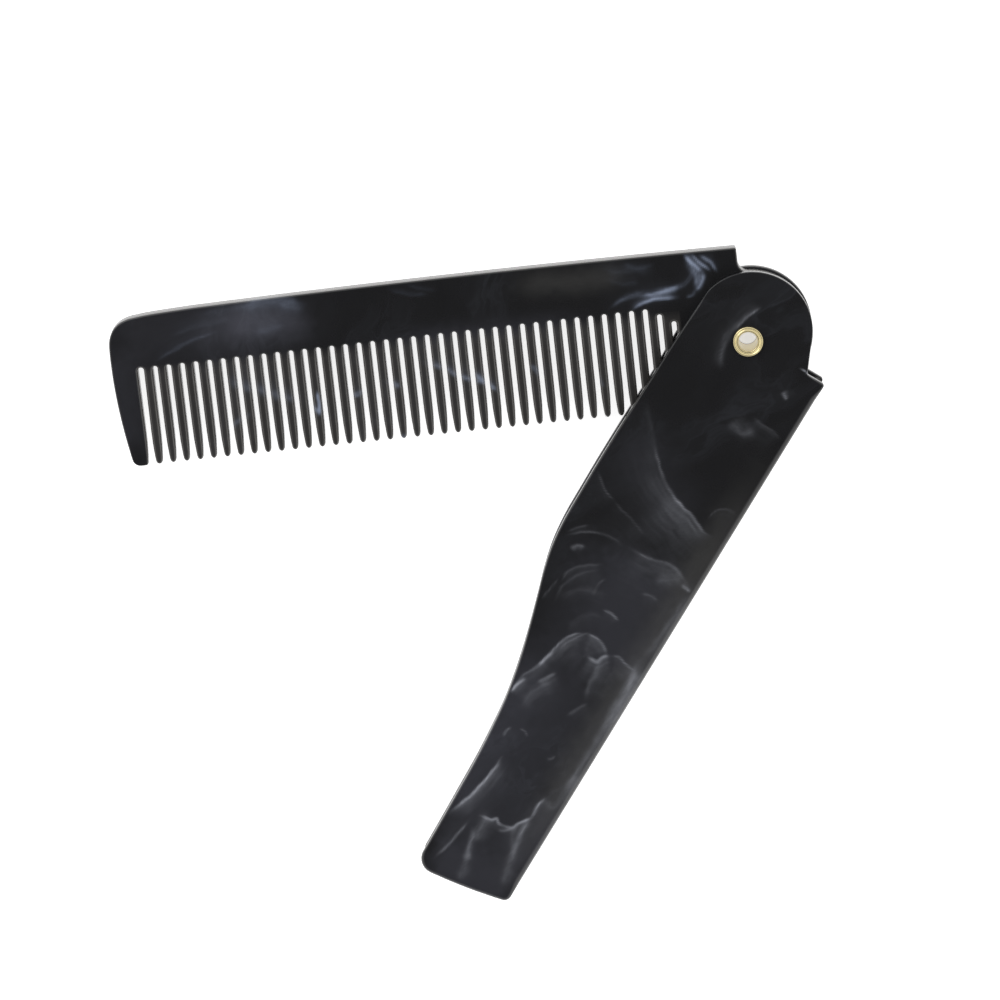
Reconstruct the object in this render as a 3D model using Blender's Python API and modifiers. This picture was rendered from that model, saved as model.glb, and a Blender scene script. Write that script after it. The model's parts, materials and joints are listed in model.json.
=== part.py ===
"""Folding pocket comb, lying half open: a U-section sheath, a comb plate and a hollow rivet.

Units are metres. +Z is up, and the underside of the sheath lies on z = 0. Lengths along a piece are
measured from the rivet's axis towards its far end, and lengths across it from the same axis.
"""

from math import atan2, ceil, cos, hypot, pi, radians, sin, sqrt

import bmesh
import bpy
from mathutils import Matrix, Vector

MM = 0.001

# Headings of the two arms from the rivet, in degrees from +X
SHEATH_HEADING = 239.4
COMB_HEADING = 186.2

# Thicknesses, through the stack
STACK = 5.4 * MM
CHEEK = 1.1 * MM
PLATE = 2.7 * MM
TOOTH_TIP_THICK = 1.5 * MM

# Sheath: positions along it, and across it with the straight back positive
BACK = 11.72 * MM
BACK_AT_END = 11.83 * MM
INNER_BACK = 9.9 * MM
WEB_START = 0.3 * MM
STEP = -0.15 * MM
STEP_FOOT = 9.0 * MM
ROUND_END_CENTRE = (-1.37 * MM, -0.19 * MM)
ROUND_END_RADIUS = 7.96 * MM
ROUND_END_FROM = radians(107)
ROUND_END_TO = radians(258)
END_LEAD = 0.28 * MM
END_LEVELS = (1.0 * MM, 5.0 * MM)
ARRIS = 0.3 * MM
# Open edge of the sheath: distance from the rivet, and how far the edge stands out on the comb's side
OPEN_EDGE = [
    (0.0, 8.12),
    (4.5, 8.3),
    (14.0, 8.47),
    (24.0, 8.62),
    (33.0, 8.48),
    (37.0, 8.04),
    (40.5, 7.22),
    (47.4, 5.15),
    (54.3, 3.4),
    (62.0, 2.28),
    (72.0, 1.72),
    (81.0, 1.47),
]
OPEN_CORNER = 2.1 * MM
BACK_CORNER = 1.0 * MM

# Comb: positions along it, and across it with the spine positive
SPINE_CREST = (25.0 * MM, 12.46 * MM)
SPINE_RADIUS = 1967 * MM
TIP_REACH = 83.77 * MM
TIP_CREST = 6.0 * MM
TIP_RADIUS = 75 * MM
# The spine turns down to the blunt end through these points, in millimetres
TIP_TURN = [
    (72.0, 11.9),
    (78.0, 11.61),
    (81.0, 11.24),
    (82.1, 10.79),
    (82.97, 10.0),
    (83.5, 8.95),
    (83.71, 7.84),
    (83.77, 6.0),
]
END_TOOTH_CORNER = 1.1 * MM
SHOULDER = 0.32 * MM
SHOULDER_FILLET = 1.5 * MM
HUB_CENTRE = (-0.43 * MM, 0.715 * MM)
HUB_RADIUS = 8.2 * MM
NECK_CROSS = 1.0 * MM

# Teeth: the gaps are counted from the comb's tip
GAPS = 40
PITCH = 1.8053 * MM
FIRST_GAP = 79.84 * MM
FIRST_GAP_SHIFT = 0.1 * MM
FIRST_GAP_EXTRA = 0.09 * MM
GAP_HALF = 0.313 * MM
ROOT_AT_TIP = 4.6 * MM
ROOT_AT_PIVOT = 5.5 * MM
TOOTH_END = -8.6 * MM
LAST_ROOTS = {38: 4.45 * MM, 39: 3.35 * MM}
TAPER_START = 2.6 * MM
# Half width of a gap, against its half width at the root, at distances from the teeth's ends
GAP_FLARE = [(4.6 * MM, 1.0), (2.6 * MM, 1.08), (1.2 * MM, 1.33), (0.35 * MM, 1.75), (0.0, 2.2)]

# Rivet: a brass tube rolled over at both ends
BORE = 1.27 * MM
BARREL = 1.56 * MM
FLANGE = 2.0 * MM
FLANGE_THICK = 0.35 * MM
# The roll's profile: the way from the bore to the flange's rim, and the rise, both as shares
ROLL = [(0.0, 0.5), (0.14, 0.9), (0.5, 0.75), (0.76, 1.0), (0.93, 0.85), (1.0, 0.5), (0.93, 0.0)]
FLANGE_GAP = 0.12 * MM
CHEEK_HOLE = 1.75 * MM
HUB_HOLE = 1.85 * MM
SINK_RADIUS = 2.3 * MM
SINK_DEPTH = 0.6 * MM

# How finely curves are made
ROUND_SIDES = 32
ARC_STEP = radians(9)
ROOT_ARC_STEP = radians(45)
SHOULDER_ARC_STEP = radians(20)
SPINE_STEPS = 10
BLUNT_END_STEPS = 6
# Edges between faces that meet at more than these angles are rounded, or shaded as sharp
ARRIS_ANGLE = radians(60)
SHARP_ANGLE = radians(35)

MIDDLE = STACK / 2
SLOT = STACK - 2 * CHEEK


def clear_scene():
    for obj in list(bpy.data.objects):
        bpy.data.objects.remove(obj, do_unlink=True)


def new_collection(name):
    collection = bpy.data.collections.new(name)
    bpy.context.scene.collection.children.link(collection)
    return collection


def make_material(name, colour, roughness, metallic=0.0):
    material = bpy.data.materials.new(name)
    material.use_nodes = True
    shader = material.node_tree.nodes["Principled BSDF"]
    shader.inputs["Base Color"].default_value = (*colour, 1.0)
    shader.inputs["Roughness"].default_value = roughness
    shader.inputs["Metallic"].default_value = metallic
    return material


def arc(centre, radius, start, end, step=ARC_STEP):
    """Points on a circle from one angle to another, in radians, both ends included."""
    count = max(2, ceil(abs(end - start) / step))
    angles = [start + (end - start) * i / count for i in range(count + 1)]
    return [(centre[0] + radius * cos(a), centre[1] + radius * sin(a)) for a in angles]


def fillet(before, corner, after, radius, steps=4):
    """The arc that rounds a corner between two straight stretches."""
    corner = Vector(corner)
    back = (Vector(before) - corner).normalized()
    on = (Vector(after) - corner).normalized()
    half = back.angle(on) / 2
    centre = corner + (back + on).normalized() * (radius / sin(half))
    start = corner + back * (centre - corner).dot(back) - centre
    end = corner + on * (centre - corner).dot(on) - centre
    turn = start.angle_signed(end)
    points = []
    for i in range(steps + 1):
        spoke = start.copy()
        spoke.rotate(Matrix.Rotation(-turn * i / steps, 2))
        points.append(tuple(centre + spoke))
    return points


def smooth_through(points, steps):
    """A Catmull-Rom curve through the points."""
    padded = [points[0], *points, points[-1]]
    curve = []
    for a, b, c, d in zip(padded, padded[1:], padded[2:], padded[3:]):
        for i in range(steps):
            t = i / steps
            weights = (
                (-t + 2 * t**2 - t**3) / 2,
                (2 - 5 * t**2 + 3 * t**3) / 2,
                (t + 4 * t**2 - 3 * t**3) / 2,
                (-(t**2) + t**3) / 2,
            )
            curve.append(
                tuple(sum(w * p[axis] for w, p in zip(weights, (a, b, c, d))) for axis in (0, 1))
            )
    return [*curve, points[-1]]


def spaced(start, end, count):
    """Even steps from the start towards the end, which is left out."""
    return [start + (end - start) * i / count for i in range(count)]


def spine_height(along):
    return SPINE_CREST[1] - (along - SPINE_CREST[0]) ** 2 / (2 * SPINE_RADIUS)


def tip_reach(across):
    """Where the comb's blunt end lies, for a distance across it."""
    return TIP_REACH - (across - TIP_CREST) ** 2 / (2 * TIP_RADIUS)


def root_height(gap, along):
    slope = (ROOT_AT_PIVOT - ROOT_AT_TIP) / FIRST_GAP
    return LAST_ROOTS.get(gap, ROOT_AT_PIVOT - slope * along)


def gap_outline(gap):
    """One gap between teeth, from its tip side up to the round root and down its pivot side."""
    along = FIRST_GAP - gap * PITCH
    half = GAP_HALF
    if gap == 0:
        along += FIRST_GAP_SHIFT
        half += FIRST_GAP_EXTRA
    root = root_height(gap, along) - half
    wall = [(half * flare, TOOTH_END + rise) for rise, flare in reversed(GAP_FLARE)]
    tip_side = [(along + width, across) for width, across in wall]
    pivot_side = [(along - width, across) for width, across in reversed(wall)]
    return [*tip_side, *arc((along, root), half, 0, pi, ROOT_ARC_STEP), *pivot_side]


def tangent_angle(point, centre, radius):
    """The angle on the circle where a line from the point touches its lower side."""
    away = hypot(point[0] - centre[0], point[1] - centre[1])
    towards = atan2(point[1] - centre[1], point[0] - centre[0])
    return towards - (pi / 2 - atan2(radius, sqrt(away**2 - radius**2)))


def comb_outline():
    tip_turn = [(along * MM, across * MM) for along, across in TIP_TURN]
    spine = [(along, spine_height(along)) for along in spaced(SHOULDER, tip_turn[0][0], SPINE_STEPS)]
    corner = smooth_through(tip_turn, 2)[:-1]
    blunt_end = [(tip_reach(level), level) for level in spaced(TIP_CREST, TOOTH_END, BLUNT_END_STEPS)]
    end_corner = (tip_reach(TOOTH_END), TOOTH_END)
    end_tooth_foot = fillet(blunt_end[-1], end_corner, gap_outline(0)[0], END_TOOTH_CORNER)
    outline = [*spine, *corner, *blunt_end, *end_tooth_foot]
    for gap in range(GAPS):
        outline += gap_outline(gap)
    neck = (FIRST_GAP - (GAPS - 1) * PITCH - GAP_HALF, NECK_CROSS)
    while outline[-1][1] < NECK_CROSS:
        outline.pop()
    fillet_across = HUB_CENTRE[1] + sqrt(
        (HUB_RADIUS + SHOULDER_FILLET) ** 2 - (SHOULDER - SHOULDER_FILLET - HUB_CENTRE[0]) ** 2
    )
    fillet_centre = (SHOULDER - SHOULDER_FILLET, fillet_across)
    hub_start = tangent_angle(neck, HUB_CENTRE, HUB_RADIUS)
    meet = atan2(fillet_centre[1] - HUB_CENTRE[1], fillet_centre[0] - HUB_CENTRE[0])
    hub = arc(HUB_CENTRE, HUB_RADIUS, hub_start, meet - 2 * pi)
    shoulder = arc(fillet_centre, SHOULDER_FILLET, meet - pi, 0, SHOULDER_ARC_STEP)
    return [*outline, neck, *hub, *shoulder[1:]]


def sheath_outline():
    edge = [(along * MM, -out * MM) for along, out in OPEN_EDGE]
    end = [(tip_reach(-level) + END_LEAD, level) for level in END_LEVELS]
    open_corner = (tip_reach(-edge[-1][1]) + END_LEAD, edge[-1][1])
    back_corner = (tip_reach(-BACK_AT_END) + END_LEAD, BACK_AT_END)
    round_end = arc(ROUND_END_CENTRE, ROUND_END_RADIUS, ROUND_END_FROM, ROUND_END_TO)
    foot = (STEP, STEP_FOOT)
    return [
        *smooth_through(edge, 3)[:-1],
        *fillet(edge[-1], open_corner, end[0], OPEN_CORNER),
        *end,
        *fillet(end[-1], back_corner, (0.0, BACK), BACK_CORNER),
        *fillet(back_corner, (STEP, BACK), foot, ARRIS),
        *fillet((STEP, BACK), foot, round_end[0], ARRIS),
        *round_end,
    ]


def plate(name, outline, thickness):
    """A flat plate centred on z = 0, from its outline."""
    curve = bpy.data.curves.new(name, "CURVE")
    curve.dimensions = "2D"
    curve.fill_mode = "BOTH"
    curve.extrude = thickness / 2
    spline = curve.splines.new("POLY")
    spline.points.add(len(outline) - 1)
    for point, (x, y) in zip(spline.points, outline):
        point.co = (x, y, 0.0, 1.0)
    spline.use_cyclic_u = True
    guide = bpy.data.objects.new(name + "_outline", curve)
    bpy.context.scene.collection.objects.link(guide)
    bpy.context.view_layer.update()
    graph = bpy.context.evaluated_depsgraph_get()
    mesh = bpy.data.meshes.new_from_object(guide.evaluated_get(graph))
    bpy.data.objects.remove(guide, do_unlink=True)
    mesh.name = name
    shape = bmesh.new()
    shape.from_mesh(mesh)
    bmesh.ops.remove_doubles(shape, verts=shape.verts, dist=1e-6)
    bmesh.ops.recalc_face_normals(shape, faces=shape.faces)
    shape.to_mesh(mesh)
    shape.free()
    return bpy.data.objects.new(name, mesh)


def place(obj, collection, parent, height=MIDDLE, heading=0.0):
    collection.objects.link(obj)
    obj.parent = parent
    obj.location = (0.0, 0.0, height)
    obj.rotation_euler = (0.0, 0.0, radians(heading))
    return obj


def make_cutter(obj, collection, parent, height=MIDDLE, heading=0.0):
    place(obj, collection, parent, height, heading)
    obj.hide_render = True
    obj.display_type = "WIRE"
    return obj


def round_cutter(name, radius, depth):
    shape = bmesh.new()
    bmesh.ops.create_cone(
        shape, cap_ends=True, segments=ROUND_SIDES, radius1=radius, radius2=radius, depth=depth
    )
    mesh = bpy.data.meshes.new(name)
    shape.to_mesh(mesh)
    shape.free()
    return bpy.data.objects.new(name, mesh)


def cut(obj, cutter):
    modifier = obj.modifiers.new("Cut " + cutter.name, "BOOLEAN")
    modifier.operation = "DIFFERENCE"
    modifier.solver = "EXACT"
    modifier.object = cutter


def shade(obj):
    obj.data.shade_smooth()
    obj.data.set_sharp_from_angle(angle=SHARP_ANGLE)


def make_sheath(parts, cutters, parent):
    sheath = plate("handle", sheath_outline(), STACK)
    place(sheath, parts, parent, heading=SHEATH_HEADING)
    sheath.data.materials.append(make_material("handle marbled black", (0.012, 0.012, 0.014), 0.25))
    rounding = sheath.modifiers.new("Rounded arris", "BEVEL")
    rounding.width = ARRIS
    rounding.segments = 2
    rounding.limit_method = "ANGLE"
    rounding.angle_limit = ARRIS_ANGLE
    beyond = 2 * TIP_REACH
    slot_outline = [
        (-beyond, -beyond),
        (beyond, -beyond),
        (beyond, INNER_BACK),
        (WEB_START, INNER_BACK),
        (WEB_START, beyond),
        (-beyond, beyond),
    ]
    slot = plate("slot_cutter", slot_outline, SLOT)
    hole = round_cutter("rivet_hole_cutter", CHEEK_HOLE, 2 * STACK)
    sink = round_cutter("rivet_sink_cutter", SINK_RADIUS, 2 * SINK_DEPTH)
    cut(sheath, make_cutter(slot, cutters, parent, heading=SHEATH_HEADING))
    cut(sheath, make_cutter(hole, cutters, parent))
    cut(sheath, make_cutter(sink, cutters, parent, height=0.0))
    shade(sheath)


def thin_the_teeth(mesh):
    """Thins the plate from just under the teeth's roots to the teeth's ends."""
    shape = bmesh.new()
    shape.from_mesh(mesh)
    bmesh.ops.bisect_plane(
        shape,
        geom=[*shape.verts, *shape.edges, *shape.faces],
        plane_co=(0.0, TAPER_START, 0.0),
        plane_no=(0.0, 1.0, 0.0),
    )
    hub_side = FIRST_GAP - (GAPS - 1) * PITCH
    for vert in shape.verts:
        if vert.co.x > hub_side and vert.co.y < TAPER_START:
            part = (TAPER_START - vert.co.y) / (TAPER_START - TOOTH_END)
            vert.co.z *= 1 - part * (1 - TOOTH_TIP_THICK / PLATE)
    shape.to_mesh(mesh)
    shape.free()


def make_comb(parts, cutters, parent):
    comb = plate("comb", comb_outline(), PLATE)
    thin_the_teeth(comb.data)
    place(comb, parts, parent, heading=COMB_HEADING)
    # A turn in the plane can't bring the spine to the upper side, so the plate is turned over
    comb.data.transform(Matrix.Scale(-1, 4, (0, 1, 0)))
    comb.data.flip_normals()
    comb.data.materials.append(make_material("comb marbled black", (0.013, 0.013, 0.015), 0.25))
    hole = round_cutter("hub_hole_cutter", HUB_HOLE, 2 * STACK)
    cut(comb, make_cutter(hole, cutters, parent))
    shade(comb)


def make_rivet(parts, parent):
    """Profile from the upper roll's inner lip, out and down to the sunk lower roll, and up the bore."""
    top_seat = STACK + FLANGE_GAP
    low_seat = SINK_DEPTH - FLANGE_GAP
    roll = [(BORE + (FLANGE - BORE) * place, FLANGE_THICK * share) for place, share in ROLL]
    upper = [(radius, top_seat + rise) for radius, rise in roll]
    lower = [(radius, low_seat - rise) for radius, rise in reversed(roll)]
    profile = [*upper, (BARREL, top_seat), (BARREL, low_seat), *lower]
    mesh = bpy.data.meshes.new("rivet")
    edges = [(i, (i + 1) % len(profile)) for i in range(len(profile))]
    mesh.from_pydata([(radius, 0.0, height) for radius, height in profile], edges, [])
    rivet = bpy.data.objects.new("rivet", mesh)
    place(rivet, parts, parent, height=0.0)
    turn = rivet.modifiers.new("Turned", "SCREW")
    turn.steps = turn.render_steps = ROUND_SIDES
    turn.use_merge_vertices = True
    turn.merge_threshold = 1e-5
    turn.use_smooth_shade = True
    mesh.materials.append(make_material("brass", (0.8, 0.6, 0.3), 0.2, metallic=1.0))


def turned(points, heading, flip=1.0):
    angle = radians(heading)
    return [
        (x * cos(angle) - flip * y * sin(angle), x * sin(angle) + flip * y * cos(angle))
        for x, y in points
    ]


def middle_of(points):
    return [(min(axis) + max(axis)) / 2 for axis in zip(*points)]


def main():
    clear_scene()
    parts = new_collection("Folding comb")
    cutters = new_collection("Cutters")
    reach = turned(sheath_outline(), SHEATH_HEADING) + turned(comb_outline(), COMB_HEADING, -1.0)
    pivot = bpy.data.objects.new("pivot", None)
    parts.objects.link(pivot)
    centre = middle_of(reach)
    pivot.location = (-centre[0], -centre[1], 0.0)
    make_sheath(parts, cutters, pivot)
    make_comb(parts, cutters, pivot)
    make_rivet(parts, pivot)


main()
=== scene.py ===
"""Looks of a folding pocket comb: marbled black plastic, a hollow brass rivet and a pale stage.

Lengths along an arm are measured from the rivet towards the arm's far end, and lengths across it from the
same axis. Shapes are worked out in millimetres in the arm's own plane and turned into the frame's metres at
the end.
"""

import json
import math

import bmesh
import bpy
import numpy as np
from bpy.props import FloatProperty, FloatVectorProperty, IntProperty, PointerProperty
from mathutils import Matrix, Vector
from mathutils.geometry import delaunay_2d_cdt


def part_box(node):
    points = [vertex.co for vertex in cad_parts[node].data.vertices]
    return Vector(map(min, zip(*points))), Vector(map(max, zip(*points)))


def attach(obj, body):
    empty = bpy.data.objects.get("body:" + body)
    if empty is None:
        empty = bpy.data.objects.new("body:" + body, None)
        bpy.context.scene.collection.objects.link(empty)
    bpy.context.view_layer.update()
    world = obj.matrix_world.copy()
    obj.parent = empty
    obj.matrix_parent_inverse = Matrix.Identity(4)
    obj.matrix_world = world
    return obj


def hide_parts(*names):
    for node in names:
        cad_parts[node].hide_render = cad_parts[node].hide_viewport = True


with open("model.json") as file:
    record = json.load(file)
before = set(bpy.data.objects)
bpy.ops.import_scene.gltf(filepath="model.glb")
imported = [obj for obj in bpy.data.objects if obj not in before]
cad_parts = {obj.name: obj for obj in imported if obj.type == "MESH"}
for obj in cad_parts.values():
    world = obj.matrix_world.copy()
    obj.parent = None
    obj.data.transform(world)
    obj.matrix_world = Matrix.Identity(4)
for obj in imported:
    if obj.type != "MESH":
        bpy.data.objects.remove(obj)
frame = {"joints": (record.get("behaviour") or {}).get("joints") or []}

bl_info = {
    "name": "Folding comb",
    "version": (1, 0, 0),
    "blender": (4, 5, 0),
    "location": "3D Viewport > Sidebar > Comb",
    "description": "Builds a marbled folding comb with its sheath, plate and hollow rivet",
    "category": "Add Mesh",
}

MM = 0.001
# Points of an outline closer than this, in millimetres, are one point
SAME_SPOT = 0.001
FOLD = frame["joints"][0]
PIVOT = np.array(FOLD["pos_m"]) / MM
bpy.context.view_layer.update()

# Headings of the two arms from the rivet, in degrees from +X
SHEATH_HEADING = 239.4
COMB_HEADING = 186.2

# Half thicknesses, from the frame and the slot that the plate turns in
HALF_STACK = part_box("handle")[1].z / MM / 2
HALF_PLATE = (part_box("comb")[1].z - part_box("comb")[0].z) / MM / 2
HALF_SLOT = 1.6
HALF_TOOTH_TIP = 0.75

# Sheath, with the straight back positive across. The web that closes the back starts at the step, and the
# sheath's end lies a little beyond the comb's.
BACK = 11.72
BACK_AT_END = 11.83
INNER_BACK = 9.9
WEB_START = 0.3
STEP = -0.15
STEP_FOOT = (-0.15, 9.0)
ROUND_END_CENTRE = (-1.37, -0.19)
ROUND_END_RADIUS = 7.96
ROUND_END_TURN = (107, 258)
END_LEAD = 0.28
END_LEVELS = (1.0, 3.0, 5.0, 7.0, INNER_BACK)
SHEATH_CORNERS = {"open": 2.1, "back": 1.0, "step": 0.4, "foot": 0.35}
# The open edge: distance along the sheath, and how far the edge stands out on the comb's side
OPEN_EDGE = np.array(
    [(0.0, 8.12), (4.5, 8.3), (9.0, 8.38), (14.0, 8.47), (19.0, 8.58), (24.0, 8.62), (28.0, 8.58)]
    + [(33.0, 8.48), (37.0, 8.04), (40.5, 7.22), (44.0, 6.15), (47.4, 5.15), (51.0, 4.16), (54.3, 3.4)]
    + [(58.0, 2.74), (62.0, 2.28), (67.0, 1.9), (72.0, 1.72), (77.0, 1.57), (81.0, 1.47)]
)
# How much narrower the back cheek is at distances along the open edge
BACK_CHEEK_TRIM = np.array([(4.0, 0.0), (10.0, 0.18), (52.0, 0.16), (60.0, 0.28), (84.0, 0.34)])
# The trim fades out between these distances across
TRIM_FADE = (2.0, 6.0)
CHEEK_HOLE = 1.75
SINK_RADIUS = 2.3
SINK_DEPTH = 0.6

# Comb plate, with the spine positive across
SPINE_CREST = (25.0, 12.46)
SPINE_RADIUS = 1967.0
TIP_REACH = 83.77
TIP_CREST = 6.0
TIP_RADIUS = 75.0
TIP_LEVEL = 4.0
# The spine turns down to the blunt end through these points
TIP_TURN = np.array(
    [(72.0, 11.9), (75.0, 11.77), (78.0, 11.61), (79.8, 11.43), (81.0, 11.24), (82.1, 10.79)]
    + [(82.97, 10.0), (83.5, 8.95), (83.71, 7.84), (83.77, 6.0)]
)
SHOULDER = 0.32
SHOULDER_CORNER = 0.3
SHOULDER_FILLET = 1.5
HUB_CENTRE = (-0.43, 0.715)
HUB_RADIUS = 8.2
HUB_HOLE = 1.85
END_TOOTH_CORNER = 1.1

# Teeth, whose gaps are counted from the comb's tip. The first gap is a little shifted and wider, the last
# two have lower roots, and the very last runs out to the hub at the neck.
GAPS = 40
PITCH = 1.8053
FIRST_GAP = 79.84
FIRST_GAP_SHIFT = 0.1
FIRST_GAP_EXTRA = 0.09
GAP_HALF = 0.313
ROOT_AT_TIP = 4.6
ROOT_AT_PIVOT = 5.5
LAST_ROOTS = {38: 4.45, 39: 3.35}
NECK_CROSS = 1.0
# The toothed part ends this far before the place of one more gap
LAST_GAP_MARGIN = 1.0
TOOTH_END = -8.6
TAPER_START = 2.6
TOOTH_ROUND = 0.5
END_TOOTH_INSIDE = 0.3
# Share of a tooth's arris that is left at its very end, and how far up it is whole again
TIP_ARRIS = 0.6
TIP_RISE = 1.5
# Half width of a gap against its half width at the root, at heights above the teeth's ends
GAP_FLARE = np.array([(0.0, 1.7), (0.6, 1.5), (1.2, 1.33), (2.6, 1.08), (4.6, 1.0), (15.0, 1.0)])

# Points on curves and arcs: on each stretch of a curve, on a tooth's end and side, and in degrees of an arc
EDGE_POINTS = 12
TIP_TURN_POINTS = 8
STROKE_POINTS = 6
SPINE_POINTS = 60
BLUNT_END_POINTS = 8
TOOTH_END_POINTS = 7
TOOTH_SIDE_POINTS = 20
ROUND_STEP = 3.0
FILLET_STEP = 10.0
CORNER_STEP = 15.0
ROOT_STEP = 22.5
HOLE_STEP = 7.5
# Steps in a quarter turn of the sheath's and of the plate's arrises
SHEATH_ARRIS_STEPS = 5
PLATE_ARRIS_STEPS = 4
# Mesh steps: on the sheath's outline against its front face, on the slot's hidden faces against the back's,
# and along the web's inner face in millimetres
OUTLINE_SHARE = 1.25
SLOT_SHARE = 3
WEB_STEP = 2.0
# A face's triangles this near to a hole's centre, in shares of its radius, fall in the hole
HOLE_SHARE = 0.98
# How many points to each side two arrises of different radius need to pass into each other
SHEATH_BLEND = 5
PLATE_BLEND = 3
# The slot's arris grows to its full radius over this many points at its ends
MOUTH_FADE = 4
# A tooth's rounded side drops by no more than this share of its half thickness
DROP_LIMIT = 0.9
# Edges that turn by more than this, in degrees, stay sharp
SHARP_ANGLE = 50

# Rivet: radius and height of the rolled end's profile, from the cheek's face
RIVET_BORE = 1.27
RIVET_BARREL = 1.56
RIVET_FLANGE = 2.0
RIVET_SEAT = 0.12
RIVET_RISE = 0.35
RIVET_LIP = 0.16
# In shares of the roll's radius: its crest from the flange's edge, the lip's height, and how far in from
# the crest and how high the groove between them lies
ROLL_CREST = 1.1
LIP_HEIGHT = 0.9
GROOVE = (0.9, 1.25)

# The photograph's camera, in its own pixels: its centre, its focal length, the point straight below the
# camera, the rivet's front ring and how large a millimetre is there
PHOTO_CENTRE = (500.0, 500.0)
PHOTO_FOCAL = 6166.0
PHOTO_NADIR = (573.5, -829.5)
PHOTO_RIVET = (748.1, 341.3)
PHOTO_SCALE = 7.62
PHOTO_WIDTH = 1000
SENSOR = 36.0

# How much the charted hazes are turned up, the most that a wisp covers and how steeply it thins out
HAZE_GAIN = 1.6
WISP_PEAK = 0.62
WISP_CONTRAST = 1.6
# How far a wisp wanders off its line: a share of its core's half width and a length more, and how often
WANDER_SHARE = 0.12
WANDER = 0.07
WANDER_SCALE = 1.1
# A wisp thins out over this share of its length at each end, down to this share of its light
END_SHARE = 0.25
END_LIGHT = 0.15
# The streaks in a haze and the grain in a core: how many there are in a millimetre, along and across
FIBRES = (0.35, 2.6)
GRAIN = (0.8, 6.0)
# The grain is this strong in a fine core, and weaker in a core of more than this half width
GRAIN_STRENGTH = 0.6
FINE_CORE = 0.5
# A haze keeps this much of its light between its streaks, and this much of the grain
STREAK_FLOOR = 0.5
HAZE_GRAIN = 0.2
# How far a haze reaches on a core's other side: a share of the core's half width and a length more
BLEED = (0.5, 0.12)
# How much of a wisp's light is left past its ends, and the most that a single wisp covers
PAST_END = 0.5
WISP_COVER = 0.95
# The seeds' steps from wisp to wisp and from coat to coat, and the noise table's side
WISP_SEED_STEP = 31
COAT_SEED_STEP = 500
NOISE_SIDE = 64

# How much more a tooth's flanks are worn and lit by a painted sheen than other arrises, and how worn and
# lightened its crown is
TOOTH_WEAR_AND_SHEEN = 4.5
TOOTH_BASE_WEAR_AND_SHEEN = 0.32
# The teeth's extra worn polish and painted sheen set in over this length at the roots
TOOTH_WEAR_AND_SHEEN_FADE = 1.5
# Painted shade: the plate shades the open edge as far as this from the rivet, so the edge loses its painted
# sheen and its worn polish there, and they come back over these lengths along and across
PLATE_SHADE_REACH = 14.0
PLATE_SHADE_FADE = (4.0, 3.0)
# Points lower than this, from the middle of the thickness, belong to the back
BACK_LEVEL = -0.8
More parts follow.
